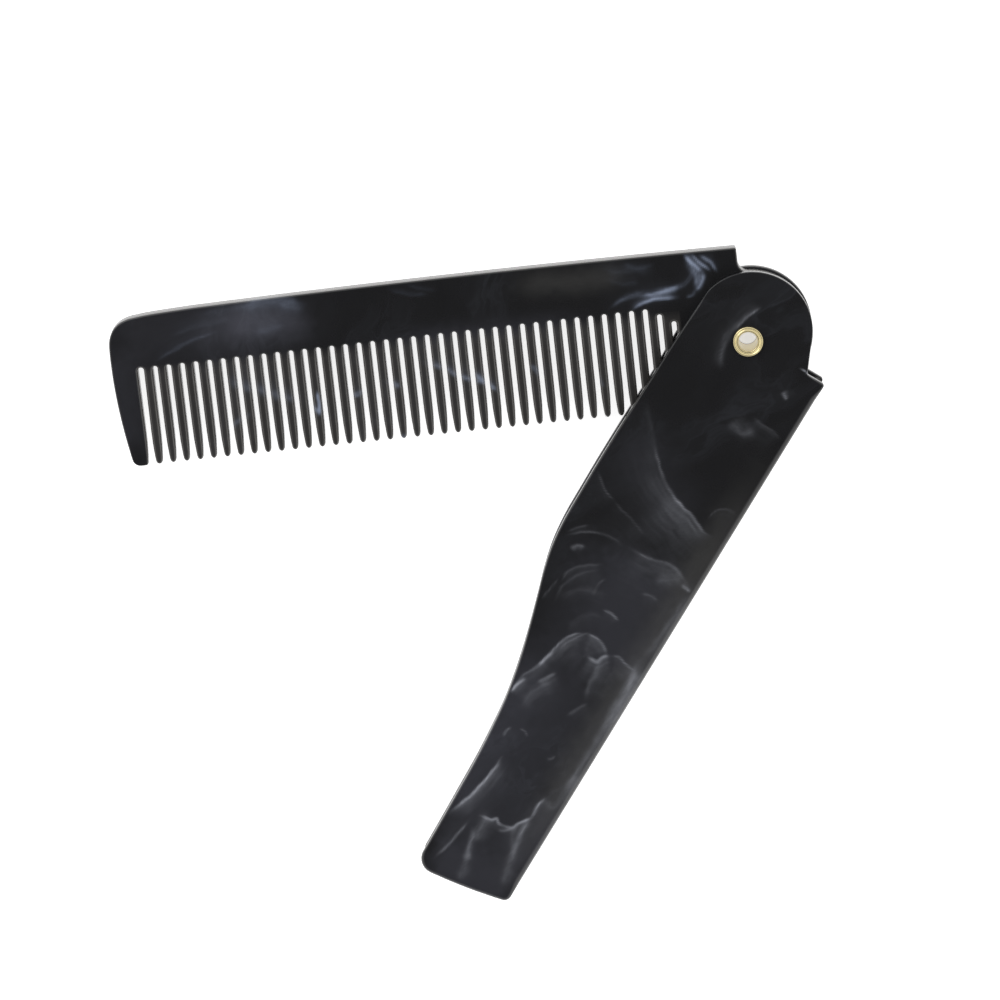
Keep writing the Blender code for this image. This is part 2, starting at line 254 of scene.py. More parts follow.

# Wisps in the plastic, charted in the photograph's pixels, and one painted highlight on the sheath's step.
# Each row holds the line that a wisp follows, how bright its core is, the core's half width, how far its
# haze spreads (to the left of the line as it is walked on the picture when positive, to the right when
# negative) and how bright the haze is.
SHEATH_WISPS_AND_STEP_HIGHLIGHT = [
    (((762, 306), (751, 313), (741, 322), (733, 332)), 0.38, 1.5, -8, 0.18),
    (((738, 320), (728, 335), (722, 350), (719, 370)), 0.13, 4.5, -9, 0.12),
    (((783, 390), (785, 396), (787, 400)), 0.3, 2.6, 5, 0.16),
    # A painted highlight, not a wisp: the light caught on the rounded arris of the sheath's step
    (((799, 367), (805, 371), (810, 375), (816, 380)), 0.7, 0.8, 2, 0.1),
    (((728, 420), (742, 432), (756, 428)), 0.12, 7.0, 14, 0.13),
    (((752, 416), (762, 424), (771, 430), (781, 439)), 0.16, 1.3, -18, 0.10),
    (((646, 398), (648, 412), (653, 440), (658, 462)), 0.07, 2.4, -16, 0.05),
    (((654, 445), (660, 470), (667, 486), (677, 500)), 0.18, 1.5, -19, 0.14),
    (((668, 489), (680, 504), (691, 515), (702, 531), (711, 537)), 0.30, 1.4, -34, 0.25),
    (((644, 470), (656, 488), (670, 506), (684, 522), (690, 540)), 0.05, 8.0, -20, 0.06),
    (((596, 470), (601, 481), (606, 492), (615, 501)), 0.20, 0.9, -9, 0.07),
    (((612, 499), (621, 509), (634, 523), (646, 537)), 0.13, 0.9, -14, 0.05),
    (((706, 520), (716, 510), (727, 509), (738, 516)), 0.14, 1.0, -20, 0.06),
    (((566, 531), (576, 527), (589, 525)), 0.14, 1.0, -6, 0.06),
    (((564, 535), (584, 531), (604, 534), (613, 538), (622, 546)), 0.20, 1.4, 12, 0.05),
    (((569, 549), (577, 545), (585, 547)), 0.28, 2.4, -5, 0.16),
    (((560, 582), (569, 570), (586, 565), (604, 564)), 0.16, 1.3, -11, 0.10),
    (((553, 603), (563, 584), (580, 573), (596, 570)), 0.10, 1.2, -9, 0.06),
    (((541, 600), (551, 586), (558, 577)), 0.14, 1.0, -7, 0.08),
    (((560, 598), (578, 589), (597, 592), (612, 600)), 0.05, 4.0, -16, 0.06),
    (((628, 546), (640, 553), (654, 560), (670, 565), (682, 576), (688, 586)), 0.20, 1.5, -24, 0.15),
    (((654, 578), (668, 581), (684, 579)), 0.06, 6.0, 16, 0.12),
    (((680, 584), (686, 588), (690, 592)), 0.34, 1.8, 6, 0.12),
    (((592, 596), (598, 583), (606, 578)), 0.14, 1.4, 10, 0.06),
    (((640, 594), (650, 595), (658, 602)), 0.16, 1.5, -10, 0.08),
    (((602, 609), (610, 613), (618, 621)), 0.42, 1.2, -8, 0.12),
    (((566, 634), (575, 620), (592, 614), (606, 620)), 0.05, 3.0, -12, 0.07),
    (((509, 694), (520, 678), (535, 667), (548, 656)), 0.30, 1.3, -9, 0.18),
    (((545, 660), (552, 650), (562, 640), (574, 634), (585, 633)), 0.26, 1.2, -16, 0.22),
    (((585, 633), (595, 637), (603, 646), (606, 656)), 0.28, 1.3, -18, 0.24),
    (((556, 652), (566, 643), (578, 636), (590, 631)), 0.12, 1.0, -6, 0.10),
    (((538, 666), (546, 657), (553, 651)), 0.6, 1.5, -5, 0.30),
    (((586, 656), (595, 661), (602, 657), (610, 655)), 0.40, 1.8, -12, 0.25),
    (((610, 655), (619, 657), (627, 665), (634, 671)), 0.24, 1.2, -20, 0.14),
    (((600, 660), (595, 672), (588, 686), (585, 700)), 0.10, 3.0, 13, 0.12),
    (((537, 682), (548, 676), (556, 672)), 0.34, 1.6, -9, 0.16),
    (((509, 692), (518, 683), (526, 677)), 0.6, 1.5, -5, 0.30),
    (((566, 716), (578, 708), (588, 703)), 0.22, 1.6, -8, 0.08),
    (((519, 710), (528, 696), (540, 686), (556, 682)), 0.06, 6.0, -14, 0.12),
    (((640, 660), (630, 684), (615, 710), (599, 738)), 0.32, 7.0, 9, 0.22),
    (((606, 724), (592, 748), (577, 772), (560, 798)), 0.2, 6.0, 8, 0.14),
    (((690, 590), (674, 616), (658, 640), (642, 660)), 0.16, 5.0, 8, 0.12),
    (((553, 796), (545, 800), (556, 806), (572, 786), (580, 770)), 0.03, 6.0, 8, 0.12),
    (((502, 737), (506, 730), (512, 727)), 0.34, 1.2, -6, 0.08),
    (((518, 728), (524, 731), (527, 737)), 0.26, 1.1, 5, 0.06),
    (((546, 758), (551, 758), (555, 755)), 0.26, 1.4, 3, 0.05),
    (((502, 755), (494, 768), (484, 780), (474, 791), (462, 802), (448, 813)), 0.5, 1.5, 9, 0.36),
    (((479, 815), (485, 817), (491, 819), (496, 818), (499, 823), (505, 826)), 0.6, 1.4, -9, 0.2),
    (((500, 825), (511, 827), (518, 823), (525, 820), (532, 817)), 0.55, 1.6, -8, 0.2),
    (((496, 829), (504, 830), (514, 826)), 0.24, 1.6, 4, 0.10),
    (((529, 819), (534, 812), (538, 805), (545, 797)), 0.46, 1.5, -4, 0.20),
    (((530, 816), (522, 830), (515, 846), (509, 862)), 0.33, 3.2, 6, 0.12),
    (((513, 850), (508, 866), (502, 888)), 0.2, 5.4, 8, 0.06),
    (((469, 820), (460, 830), (447, 845), (434, 858)), 0.3, 1.5, -8, 0.12),
    (((473, 828), (470, 843), (466, 862)), 0.36, 3.6, 5, 0.08),
    (((468, 850), (464, 866), (459, 882)), 0.2, 5.4, 8, 0.06),
    (((489, 812), (481, 826), (474, 842)), 0.2, 6.5, 8, 0.06),
    (((515, 822), (512, 836), (510, 850)), 0.1, 3.0, 5, 0.06),
]
COMB_WISPS = [
    (((683, 253), (688, 260), (695, 266), (703, 272)), 0.85, 1.7, 4, 0.3),
    (((686, 257), (692, 267), (697, 278), (696, 289)), 0.5, 4.2, 4, 0.1),
    (((702, 271), (702, 279), (698, 287), (694, 291)), 0.6, 2.4, -4, 0.1),
    (((696, 290), (691, 295), (685, 296)), 0.26, 1.5, -4, 0.06),
    (((694, 264), (690, 275), (683, 284), (668, 291), (650, 295)), 0.18, 2.8, -4, 0.05),
    (((682, 286), (665, 290), (651, 294), (640, 297)), 0.66, 1.9, 5, 0.26),
    (((678, 297), (658, 298), (643, 302), (631, 309)), 0.6, 1.8, -5, 0.26),
    (((646, 290), (626, 297), (610, 308)), 0.14, 2.8, 4, 0.05),
    (((690, 253), (700, 263), (709, 269)), 0.5, 1.5, -3, 0.1),
    (((698, 254), (710, 262), (717, 272)), 0.5, 1.5, 4, 0.16),
    (((696, 258), (704, 266), (711, 271)), 0.3, 1.4, 4, 0.12),
    (((606, 309), (618, 301), (634, 296), (652, 290), (668, 287), (684, 282)), 0.1, 1.8, 7, 0.06),
    (((598, 266), (616, 272), (634, 268), (652, 272)), 0.05, 5.0, 12, 0.05),
    (((620, 262), (638, 267), (656, 263)), 0.06, 3.0, -8, 0.05),
    (((604, 276), (622, 284), (642, 280)), 0.04, 4.0, 10, 0.05),
    (((386, 288), (400, 292), (414, 294), (430, 294)), 0.10, 2.0, 8, 0.06),
    (((404, 283), (420, 288), (438, 290)), 0.06, 2.0, 6, 0.04),
    (((236, 308), (254, 302), (274, 300), (292, 301), (306, 306)), 0.17, 5.0, -16, 0.12),
    (((196, 316), (220, 310), (246, 306), (270, 304)), 0.05, 5.0, -14, 0.06),
    (((254, 334), (268, 329), (284, 324)), 0.12, 5.0, 8, 0.04),
    (((276, 302), (290, 306), (304, 312)), 0.12, 5.0, -8, 0.06),
    (((154, 362), (170, 351), (186, 343), (202, 336), (218, 331)), 0.13, 2.2, 9, 0.08),
    (((168, 336), (186, 329), (206, 324), (232, 318)), 0.05, 3.0, 12, 0.05),
    (((219, 378), (244, 386), (274, 394), (304, 402)), 0.2, 6.0, 16, 0.10),
    (((228, 432), (240, 420), (252, 414)), 0.24, 3.0, 6, 0.10),
    (((317, 390), (318, 402), (319, 416)), 0.8, 1.5, 3, 0.16),
    (((309, 404), (315, 410), (322, 414)), 0.40, 2.4, 5, 0.20),
    (((350, 396), (358, 394), (366, 390)), 0.36, 2.8, 6, 0.16),
    (((386, 378), (392, 384), (400, 388)), 0.30, 3.4, 6, 0.14),
    (((392, 446), (400, 440), (408, 434)), 0.26, 2.4, 5, 0.14),
    (((420, 360), (440, 367), (466, 378), (494, 385)), 0.26, 3.4, 10, 0.16),
    (((472, 372), (486, 382), (498, 392)), 0.46, 2.8, 6, 0.20),
    (((528, 364), (536, 370), (543, 378)), 0.26, 3.0, 6, 0.10),
    (((596, 372), (600, 380), (603, 388)), 0.22, 1.6, 4, 0.06),
]
# Broad milky and warm grey clouds under the wisps, in rows of the same form
SHEATH_MILK = [
    (((650, 545), (622, 610), (600, 690)), 0.075, 58, 20, 0.0),
    (((590, 650), (548, 715), (504, 785), (462, 855)), 0.055, 58, 20, 0.0),
    (((424, 850), (470, 872), (520, 896)), 0.085, 40, 20, 0.0),
    (((552, 636), (520, 688), (486, 740), (462, 786), (442, 836)), 0.06, 26, 14, 0.0),
    (((560, 800), (540, 840), (520, 880)), 0.06, 24, 14, 0.0),
    (((630, 420), (655, 480), (690, 530)), 0.03, 30, 20, 0.0),
]
SHEATH_WARM = [
    (((764, 464), (700, 566), (650, 648), (600, 728), (550, 808), (505, 880)), 0.095, 17, 10, 0.0),
]
COMB_MILK = [
    (((100, 350), (150, 332), (200, 330), (250, 325), (290, 330)), 0.045, 40, 20, 0.0),
    (((214, 324), (256, 322), (316, 322)), 0.11, 18, 10, 0.0),
    (((112, 345), (122, 400), (132, 460)), 0.05, 24, 10, 0.0),
    (((184, 334), (230, 324), (270, 318), (290, 322)), 0.04, 20, 10, 0.0),
    (((380, 345), (440, 336), (520, 328), (600, 322)), 0.05, 12, 10, 0.0),
]
COMB_WARM = [
    (((510, 286), (546, 282), (588, 279), (632, 270)), 0.07, 12, 10, 0.0),
]


def heading_matrix(heading, flip):
    """Turns (along, across) into (x, y) about the rivet. With flip the across side changes hands."""
    angle = math.radians(heading)
    along = (math.cos(angle), math.sin(angle))
    across = (-math.sin(angle) * flip, math.cos(angle) * flip)
    return np.array([along, across])


SHEATH_TURN = heading_matrix(SHEATH_HEADING, 1.0)
COMB_TURN = heading_matrix(COMB_HEADING, -1.0)


# Paths in an arm's plane, as arrays of points


def arc(centre, radius, start, end, step):
    """Points on a circle from one angle to another, in degrees."""
    count = max(3, math.ceil(abs(end - start) / step) + 1)
    angles = np.radians(np.linspace(start, end, count))
    return np.asarray(centre) + radius * np.stack([np.cos(angles), np.sin(angles)], 1)


def lengths(path):
    """Distance walked to each point of an open path."""
    steps = np.linalg.norm(np.diff(path, axis=0), axis=1)
    return np.concatenate([[0.0], np.cumsum(steps)])


def smooth_through(points, steps):
    """A Catmull-Rom curve: each stretch is a cubic whose slope at a point runs between its neighbours."""
    points = np.asarray(points, float)
    padded = np.concatenate([points[:1], points, points[-1:]])
    t = np.linspace(0, 1, steps, endpoint=False)[None, :, None]
    a, b, c, d = (padded[i : len(padded) - 3 + i, None, :] for i in range(4))
    curve = (
        a * (-t + 2 * t**2 - t**3)
        + b * (2 - 5 * t**2 + 3 * t**3)
        + c * (t + 4 * t**2 - 3 * t**3)
        + d * (-(t**2) + t**3)
    ) / 2
    return np.concatenate([curve.reshape(-1, 2), points[-1:]])


def without_repeats(path):
    """Which points of a closed path to keep, so that no two neighbours are the same spot."""
    return np.linalg.norm(np.roll(path, -1, 0) - path, axis=1) > SAME_SPOT


def dense(path, spacing):
    """The closed path with its stretches cut into equal parts no longer than the spacing.

    With it comes each point's place among the old ones.
    """
    ahead = np.roll(path, -1, 0) - path
    counts = np.maximum(1, np.ceil(np.linalg.norm(ahead, axis=1) / spacing)).astype(int)
    start = np.repeat(path, counts, axis=0)
    stretch = np.repeat(ahead, counts, axis=0)
    first = np.repeat(np.cumsum(counts) - counts, counts)
    share = (np.arange(counts.sum()) - first) / np.repeat(counts, counts)
    return start + stretch * share[:, None], np.repeat(np.arange(len(path)), counts) + share


def rounded(before, corner, after, radius):
    """The arc that rounds a corner between two straight stretches.

    Its centre lies on the line that halves the corner, the radius over the sine of half the angle away.
    """
    before, corner, after = (np.asarray(p, float) for p in (before, corner, after))
    back = (before - corner) / np.linalg.norm(before - corner)
    on = (after - corner) / np.linalg.norm(after - corner)
    half = math.acos(float(np.clip(back @ on, -1, 1))) / 2
    middle = (back + on) / np.linalg.norm(back + on)
    centre = corner + middle * radius / math.sin(half)
    start = corner + back * ((centre - corner) @ back) - centre
    end = corner + on * ((centre - corner) @ on) - centre
    from_angle = math.degrees(math.atan2(start[1], start[0]))
    turn = math.degrees(math.atan2(end[1], end[0])) - from_angle
    turn = (turn + 180) % 360 - 180
    return arc(centre, radius, from_angle, from_angle + turn, CORNER_STEP)


def inward(path):
    """Unit vectors to the inside of a closed path, square to the mean heading at each point."""
    ahead = np.roll(path, -1, 0) - path
    ahead /= np.linalg.norm(ahead, axis=1)[:, None]
    tangent = ahead + np.roll(ahead, 1, 0)
    tangent /= np.linalg.norm(tangent, axis=1)[:, None]
    beyond = np.roll(path, -1, 0)
    area = (path[:, 0] * beyond[:, 1] - path[:, 1] * beyond[:, 0]).sum()
    return np.stack([-tangent[:, 1], tangent[:, 0]], 1) * np.sign(area)


def narrowed(values, reach):
    """The least value within so many points to each side, round a closed path."""
    return np.min([np.roll(values, shift) for shift in range(-reach, reach + 1)], axis=0)


def softened(values, reach):
    """A running mean round a closed path, over so many points to each side, the nearer weighing more."""
    window = np.hanning(2 * reach + 3)[1:-1]
    padded = np.concatenate([values[-reach:], values, values[:reach]])
    return np.convolve(padded, window / window.sum(), "valid")


def tip_reach(across):
    """How far the comb's blunt end lies at a distance across it: a shallow arc."""
    return TIP_REACH - (across - TIP_CREST) ** 2 / (2 * TIP_RADIUS)


def spine_height(along):
    """The spine is a very shallow arc, taken as a parabola."""
    return SPINE_CREST[1] - (along - SPINE_CREST[0]) ** 2 / (2 * SPINE_RADIUS)


def sheath_path():
    """The cheeks' closed outline, and the place names of its stretches, one for each point."""
    edge = smooth_through(OPEN_EDGE * (1, -1), EDGE_POINTS)
    open_corner = np.array([tip_reach(-edge[-1][1]) + END_LEAD, edge[-1][1]])
    levels = np.array(END_LEVELS)
    end = np.stack([tip_reach(-levels) + END_LEAD, levels], 1)
    back_corner = np.array([tip_reach(-BACK_AT_END) + END_LEAD, BACK_AT_END])
    back = np.array([(WEB_START, BACK)])
    step_corner = (STEP, BACK)
    round_end = arc(ROUND_END_CENTRE, ROUND_END_RADIUS, *ROUND_END_TURN, ROUND_STEP)
    corners = SHEATH_CORNERS
    stretches = [
        ("edge", edge[:-1]),
        ("end", rounded(edge[-2], open_corner, end[0], corners["open"])),
        ("end", end),
        ("end", rounded(end[-1], back_corner, back[0], corners["back"])),
        ("back", back),
        ("step", rounded(back_corner, step_corner, STEP_FOOT, corners["step"])),
        ("step", rounded(step_corner, STEP_FOOT, round_end[0], corners["foot"])),
        ("round", round_end),
    ]
    names = np.array([name for name, points in stretches for _ in points])
    path = np.concatenate([points for _, points in stretches])
    keep = without_repeats(path)
    return path[keep], names[keep]


def gap_half(rise):
    """Half width of a gap at a height above the teeth's ends, which are rounded to an ellipse."""
    body = PITCH / 2 - GAP_HALF * np.interp(rise, *GAP_FLARE.T)
    round_part = np.clip(rise / TOOTH_ROUND, 0, 1)
    return PITCH / 2 - body * np.sqrt(1 - (1 - round_part) ** 2)


def gap_path(gap):
    """One gap between teeth, from the teeth's ends up its tip side to the round root and down again."""
    along = FIRST_GAP - gap * PITCH + (FIRST_GAP_SHIFT if gap == 0 else 0.0)
    extra = FIRST_GAP_EXTRA if gap == 0 else 0.0
    root = LAST_ROOTS.get(gap, ROOT_AT_PIVOT - (ROOT_AT_PIVOT - ROOT_AT_TIP) / FIRST_GAP * along)
    half = GAP_HALF + extra
    top = root - half - TOOTH_END
    low = TOOTH_ROUND * (1 - np.cos(np.radians(np.linspace(0, 90, TOOTH_END_POINTS))))
    above = np.linspace(TOOTH_ROUND, TAPER_START - TOOTH_END, TOOTH_SIDE_POINTS)[1:]
    rise = np.concatenate([low, above, [top]])
    width = gap_half(rise) + extra * np.clip(rise / top, 0, 1)
    width[-1] = half
    across = TOOTH_END + rise
    tip_side = np.stack([along + width, across], 1)
    pivot_side = np.stack([along - width, across], 1)[::-1]
    round_root = arc((along, root - half), half, 0, 180, ROOT_STEP)
    return np.concatenate([tip_side[:-1], round_root, pivot_side[1:]])


def tangent_angle(point, centre, radius):
    """The angle on the circle where a line from the point touches its lower side."""
    away = math.dist(point, centre)
    towards = math.atan2(point[1] - centre[1], point[0] - centre[0])
    return math.degrees(towards - math.acos(radius / away))


def among_teeth(along, margin):
    """Which points lie along the toothed part, or past its first gap by no more than a margin."""
    last = FIRST_GAP - GAPS * PITCH + LAST_GAP_MARGIN
    return (along > last) & (along < FIRST_GAP + GAP_HALF + margin)


def comb_path():
    """The comb plate's closed outline, walked along the spine, round the tip and back over the teeth."""
    along = np.linspace(SHOULDER, TIP_TURN[0, 0], SPINE_POINTS)
    spine = np.stack([along, spine_height(along)], 1)
    corner = smooth_through(TIP_TURN, TIP_TURN_POINTS)
    lower = np.linspace(TAPER_START, TOOTH_END, BLUNT_END_POINTS)[1:]
    levels = np.concatenate([[TIP_CREST, TIP_LEVEL, TAPER_START], lower])
    blunt = np.stack([tip_reach(levels), levels], 1)
    gaps = [gap_path(gap) for gap in range(GAPS)]
    end_corner = (float(tip_reach(TOOTH_END)), TOOTH_END)
    inner_corner = (FIRST_GAP + FIRST_GAP_SHIFT + GAP_HALF * GAP_FLARE[0, 1], TOOTH_END)
    first_rise = gaps[0][gaps[0][:, 1] > TOOTH_END + 2 * TOOTH_ROUND][0]
    foot = rounded(blunt[-2], end_corner, inner_corner, END_TOOTH_CORNER)
    inside = rounded(end_corner, inner_corner, first_rise, END_TOOTH_INSIDE)
    gaps[0] = gaps[0][np.argmax(gaps[0][:, 1] > TOOTH_END + 2 * TOOTH_ROUND) :]
    last = gaps[-1]
    keep = ~((last[:, 0] < FIRST_GAP - (GAPS - 1) * PITCH) & (last[:, 1] < NECK_CROSS))
    gaps[-1] = last[keep]
    neck = np.array([(FIRST_GAP - (GAPS - 1) * PITCH - GAP_HALF, NECK_CROSS)])
    fillet_along = SHOULDER - SHOULDER_FILLET
    fillet_across = HUB_CENTRE[1] + math.sqrt(
        (HUB_RADIUS + SHOULDER_FILLET) ** 2 - (fillet_along - HUB_CENTRE[0]) ** 2
    )
    meet = math.degrees(math.atan2(fillet_across - HUB_CENTRE[1], fillet_along - HUB_CENTRE[0]))
    hub_start = tangent_angle(neck[0], HUB_CENTRE, HUB_RADIUS)
    hub = arc(HUB_CENTRE, HUB_RADIUS, hub_start, meet - 360, ROUND_STEP)
    fillet = arc((fillet_along, fillet_across), SHOULDER_FILLET, meet - 180, 0, FILLET_STEP)
    shoulder = rounded(fillet[-1], spine[0], spine[1], SHOULDER_CORNER)
    path = np.concatenate(
        [spine[1:-1], corner, blunt[1:-1], foot, inside, *gaps, neck, hub, fillet[1:], shoulder]
    )
    return path[without_repeats(path)]


def half_plate(across, along):
    """Half thickness of the comb plate: even at the spine, and thinning evenly to the teeth's ends."""
    part = np.clip((TAPER_START - across) / (TAPER_START - TOOTH_END), 0, 1)
    toothed = along > FIRST_GAP - (GAPS - 1) * PITCH
    return HALF_PLATE + part * toothed * (HALF_TOOTH_TIP - HALF_PLATE)


# Meshes


class Skin:
    """Collects the points and faces of one piece, all in the arm's plane and in millimetres."""

    def __init__(self):
        self.points = []
        self.faces = []
        self.count = 0

    def add(self, plane, height):
        """Adds points of the plane at a height, or at heights, and gives their numbers."""
        plane = np.asarray(plane, float)
        rows = np.column_stack([plane, np.broadcast_to(height, len(plane))])
        self.points.append(rows)
        self.count += len(rows)
        return np.arange(self.count - len(rows), self.count)

    def wall(self, lower, upper, closed=True):
        """Quads between two rows of points."""
        if closed:
            lower, upper = np.append(lower, lower[0]), np.append(upper, upper[0])
        self.faces.append(np.stack([lower[:-1], lower[1:], upper[1:], upper[:-1]], 1))

    def face(self, rim, holes, height, spacing):
        """Fills a flat face: a grid of points inside the rim, joined to it by a Delaunay triangulation.

        The grid's points that lie within half a step of the rim or of a hole are left out.
        """
        known = np.concatenate([rim, *holes])
        plane = np.concatenate(self.points)[known][:, :2]
        low, high = plane.min(0), plane.max(0)
        columns, rows = (np.ceil((high - low) / spacing) + 1).astype(int)
        x, y = np.meshgrid(low[0] + np.arange(columns) * spacing, low[1] + np.arange(rows) * spacing)
        keep = np.ones((rows, columns), bool)
        start = 0
        edges = []
        for loop in (rim, *holes):
            ring = dense(plane[start : start + len(loop)], spacing / 2)[0]
            spots = np.rint((ring - low) / spacing).astype(int)
            keep[np.clip(spots[:, 1], 0, rows - 1), np.clip(spots[:, 0], 0, columns - 1)] = False
            numbers = np.arange(start, start + len(loop))
            edges += list(zip(numbers.tolist(), np.roll(numbers, -1).tolist()))
            start += len(loop)
        grid = np.stack([x[keep], y[keep]], 1)
        flat = [Vector(p) for p in np.concatenate([plane, grid]).tolist()]
        made = delaunay_2d_cdt(flat, edges, [], 1, 1e-6)
        if not all(made[3]):
            crossings = [tuple(spot) for spot, first in zip(made[0], made[3]) if not first]
            raise ValueError(f"the rim crosses itself near {crossings[:4]}")
        origin = np.array([first[0] for first in made[3]])
        triangles = origin[np.array(made[2])]
        places = np.concatenate([plane, grid])
        middles = places[triangles].mean(1)
        for hole in holes:
            ring = np.concatenate(self.points)[hole][:, :2]
            centre = ring.mean(0)
            radius = np.linalg.norm(ring - centre, axis=1).max()
            outside = np.linalg.norm(middles - centre, axis=1) > radius * HOLE_SHARE
            triangles, middles = triangles[outside], middles[outside]
        inner = self.add(grid, height(grid) if callable(height) else height)
        numbers = np.concatenate([known, inner])
        self.faces.append(numbers[triangles])

    def mesh(self, name, turn):
        """The mesh in the frame's metres, its doubles merged and its faces turned outwards."""
        points = np.concatenate(self.points)
        world = np.column_stack([points[:, :2] @ turn, points[:, 2]]) + PIVOT
        mesh = bpy.data.meshes.new(name)
        faces = [face for block in self.faces for face in block.tolist()]
        mesh.from_pydata(world * MM, [], faces)
        shape = bmesh.new()
        shape.from_mesh(mesh)
        bmesh.ops.remove_doubles(shape, verts=shape.verts, dist=1e-8)
        bmesh.ops.dissolve_degenerate(shape, edges=shape.edges, dist=1e-9)
        loose = [vert for vert in shape.verts if not vert.link_faces]
        bmesh.ops.delete(shape, geom=loose, context="VERTS")
        bmesh.ops.recalc_face_normals(shape, faces=shape.faces)
        shape.to_mesh(mesh)
        shape.free()
        mesh.shade_smooth()
        mesh.set_sharp_from_angle(angle=math.radians(SHARP_ANGLE))
        return mesh


def place(mesh, body, node):
    """Puts the mesh in the scene as a piece that rides on a body and stands for a node."""
    piece = bpy.data.objects.new(mesh.name, mesh)
    bpy.context.scene.collection.objects.link(piece)
    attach(piece, body)
    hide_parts(node)


def arris_rows(skin, path, normals, radius, depth, half, side, steps, shift=0.0):
    """A quarter of an ellipse carried along the path: from the face's rim out to the edge.

    Row by row the point moves out by the radius times 1 - sin and down by the depth times 1 - cos.
    """
    rows = []
    for angle in np.radians(np.linspace(0, 90, steps + 1)):
        offset = shift + radius * (1 - math.sin(angle))
        height = side * (half - depth * (1 - math.cos(angle)))
        rows.append(skin.add(path + normals * np.reshape(offset, (-1, 1)), height))
    return rows


def walls(skin, rows):
    """Closed walls from each row of points to the next."""
    for lower, upper in zip(rows, rows[1:]):
        skin.wall(lower, upper)


def sheath_mesh(look):
    """Two cheeks and the web that joins them along the back, each cheek with rounded arrises.

    The outline is walked once. Where the web is, the outer wall runs from arris to arris. Elsewhere each
    cheek turns round its inner arris into the slot.
    """
    path, names = sheath_path()
    arris = {
        "edge": look.edge_arris / MM,
        "end": look.end_arris / MM,
        "back": look.back_arris / MM,
        "step": look.edge_arris / MM,
        "round": look.round_arris / MM,
    }
    closed, places = dense(path, look.spacing / MM * OUTLINE_SHARE)
    kinds = names[np.ceil(places).astype(int) % len(path)]
    start = int(np.argmin(((closed - (WEB_START, BACK)) ** 2).sum(1)))
    mouth = int(np.argmin(((closed - (tip_reach(-INNER_BACK) + END_LEAD, INNER_BACK)) ** 2).sum(1)))
    radius = np.array([arris[kind] for kind in kinds])
    radius = softened(narrowed(radius, SHEATH_BLEND), SHEATH_BLEND)
    on_open_side = np.clip((TRIM_FADE[1] - closed[:, 1]) / (TRIM_FADE[1] - TRIM_FADE[0]), 0, 1)
    trim = np.interp(closed[:, 0], *BACK_CHEEK_TRIM.T) * on_open_side
    closed, radius, trim = (np.roll(values, -start, 0) for values in (closed, radius, trim))
    mouth = (mouth - start) % len(closed)
    normals = inward(closed)
    ends = np.minimum(np.arange(len(closed)), mouth - np.arange(len(closed)))
    inner_arris = look.inner_arris / MM * np.clip(ends / MOUTH_FADE, 0, 1)
    ring = arc((0, 0), CHEEK_HOLE, 0, 360, HOLE_STEP)[:-1]
    sink = arc((0, 0), SINK_RADIUS, 0, 360, HOLE_STEP)[:-1]
    corner = np.array([(WEB_START, INNER_BACK)])
    end_point = closed[mouth]
    skin = Skin()
    last_rows = []
    inner_faces = []
    for side in (1, -1):
        shift = trim if side < 0 else 0.0
        band = (radius, radius, HALF_STACK, side, SHEATH_ARRIS_STEPS, shift)
        rows = arris_rows(skin, closed, normals, *band)
        for angle in np.radians((0, 45, 90)):
            offset = shift + inner_arris * (1 - math.cos(angle))
            height = side * (HALF_SLOT + inner_arris * (1 - math.sin(angle)))
            rows.append(skin.add(closed + normals * offset[:, None], height))
        walls(skin, rows)
        outer_ring = skin.add(ring if side > 0 else sink, side * HALF_STACK)
        inner_ring = skin.add(ring, side * HALF_SLOT)
        spacing = (look.spacing if side > 0 else look.back_spacing) / MM
        skin.face(rows[0], [outer_ring], side * HALF_STACK, spacing)
        if side > 0:
            skin.wall(outer_ring, inner_ring)
        else:
            floor = -HALF_STACK + SINK_DEPTH
            walls(skin, [outer_ring, skin.add(sink, floor), skin.add(ring, floor), inner_ring])
        web = dense(np.concatenate([end_point[None], corner, closed[:1]]), WEB_STEP)[0]
        web = web[: np.argmin(((web - closed[0]) ** 2).sum(1))][1:]
        web_line = skin.add(web, side * HALF_SLOT)
        rim = np.concatenate([rows[-1][: mouth + 1], web_line])
        skin.face(rim, [inner_ring], side * HALF_SLOT, look.back_spacing / MM * SLOT_SHARE)
        last_rows.append(rows[-1])
        inner_faces.append(np.concatenate([rows[-1][mouth : mouth + 1], web_line, rows[-1][:1]]))
    skin.wall(*[np.append(row[mouth:], row[0]) for row in last_rows], closed=False)
    skin.wall(*inner_faces, closed=False)
    return skin.mesh("sheath", SHEATH_TURN)


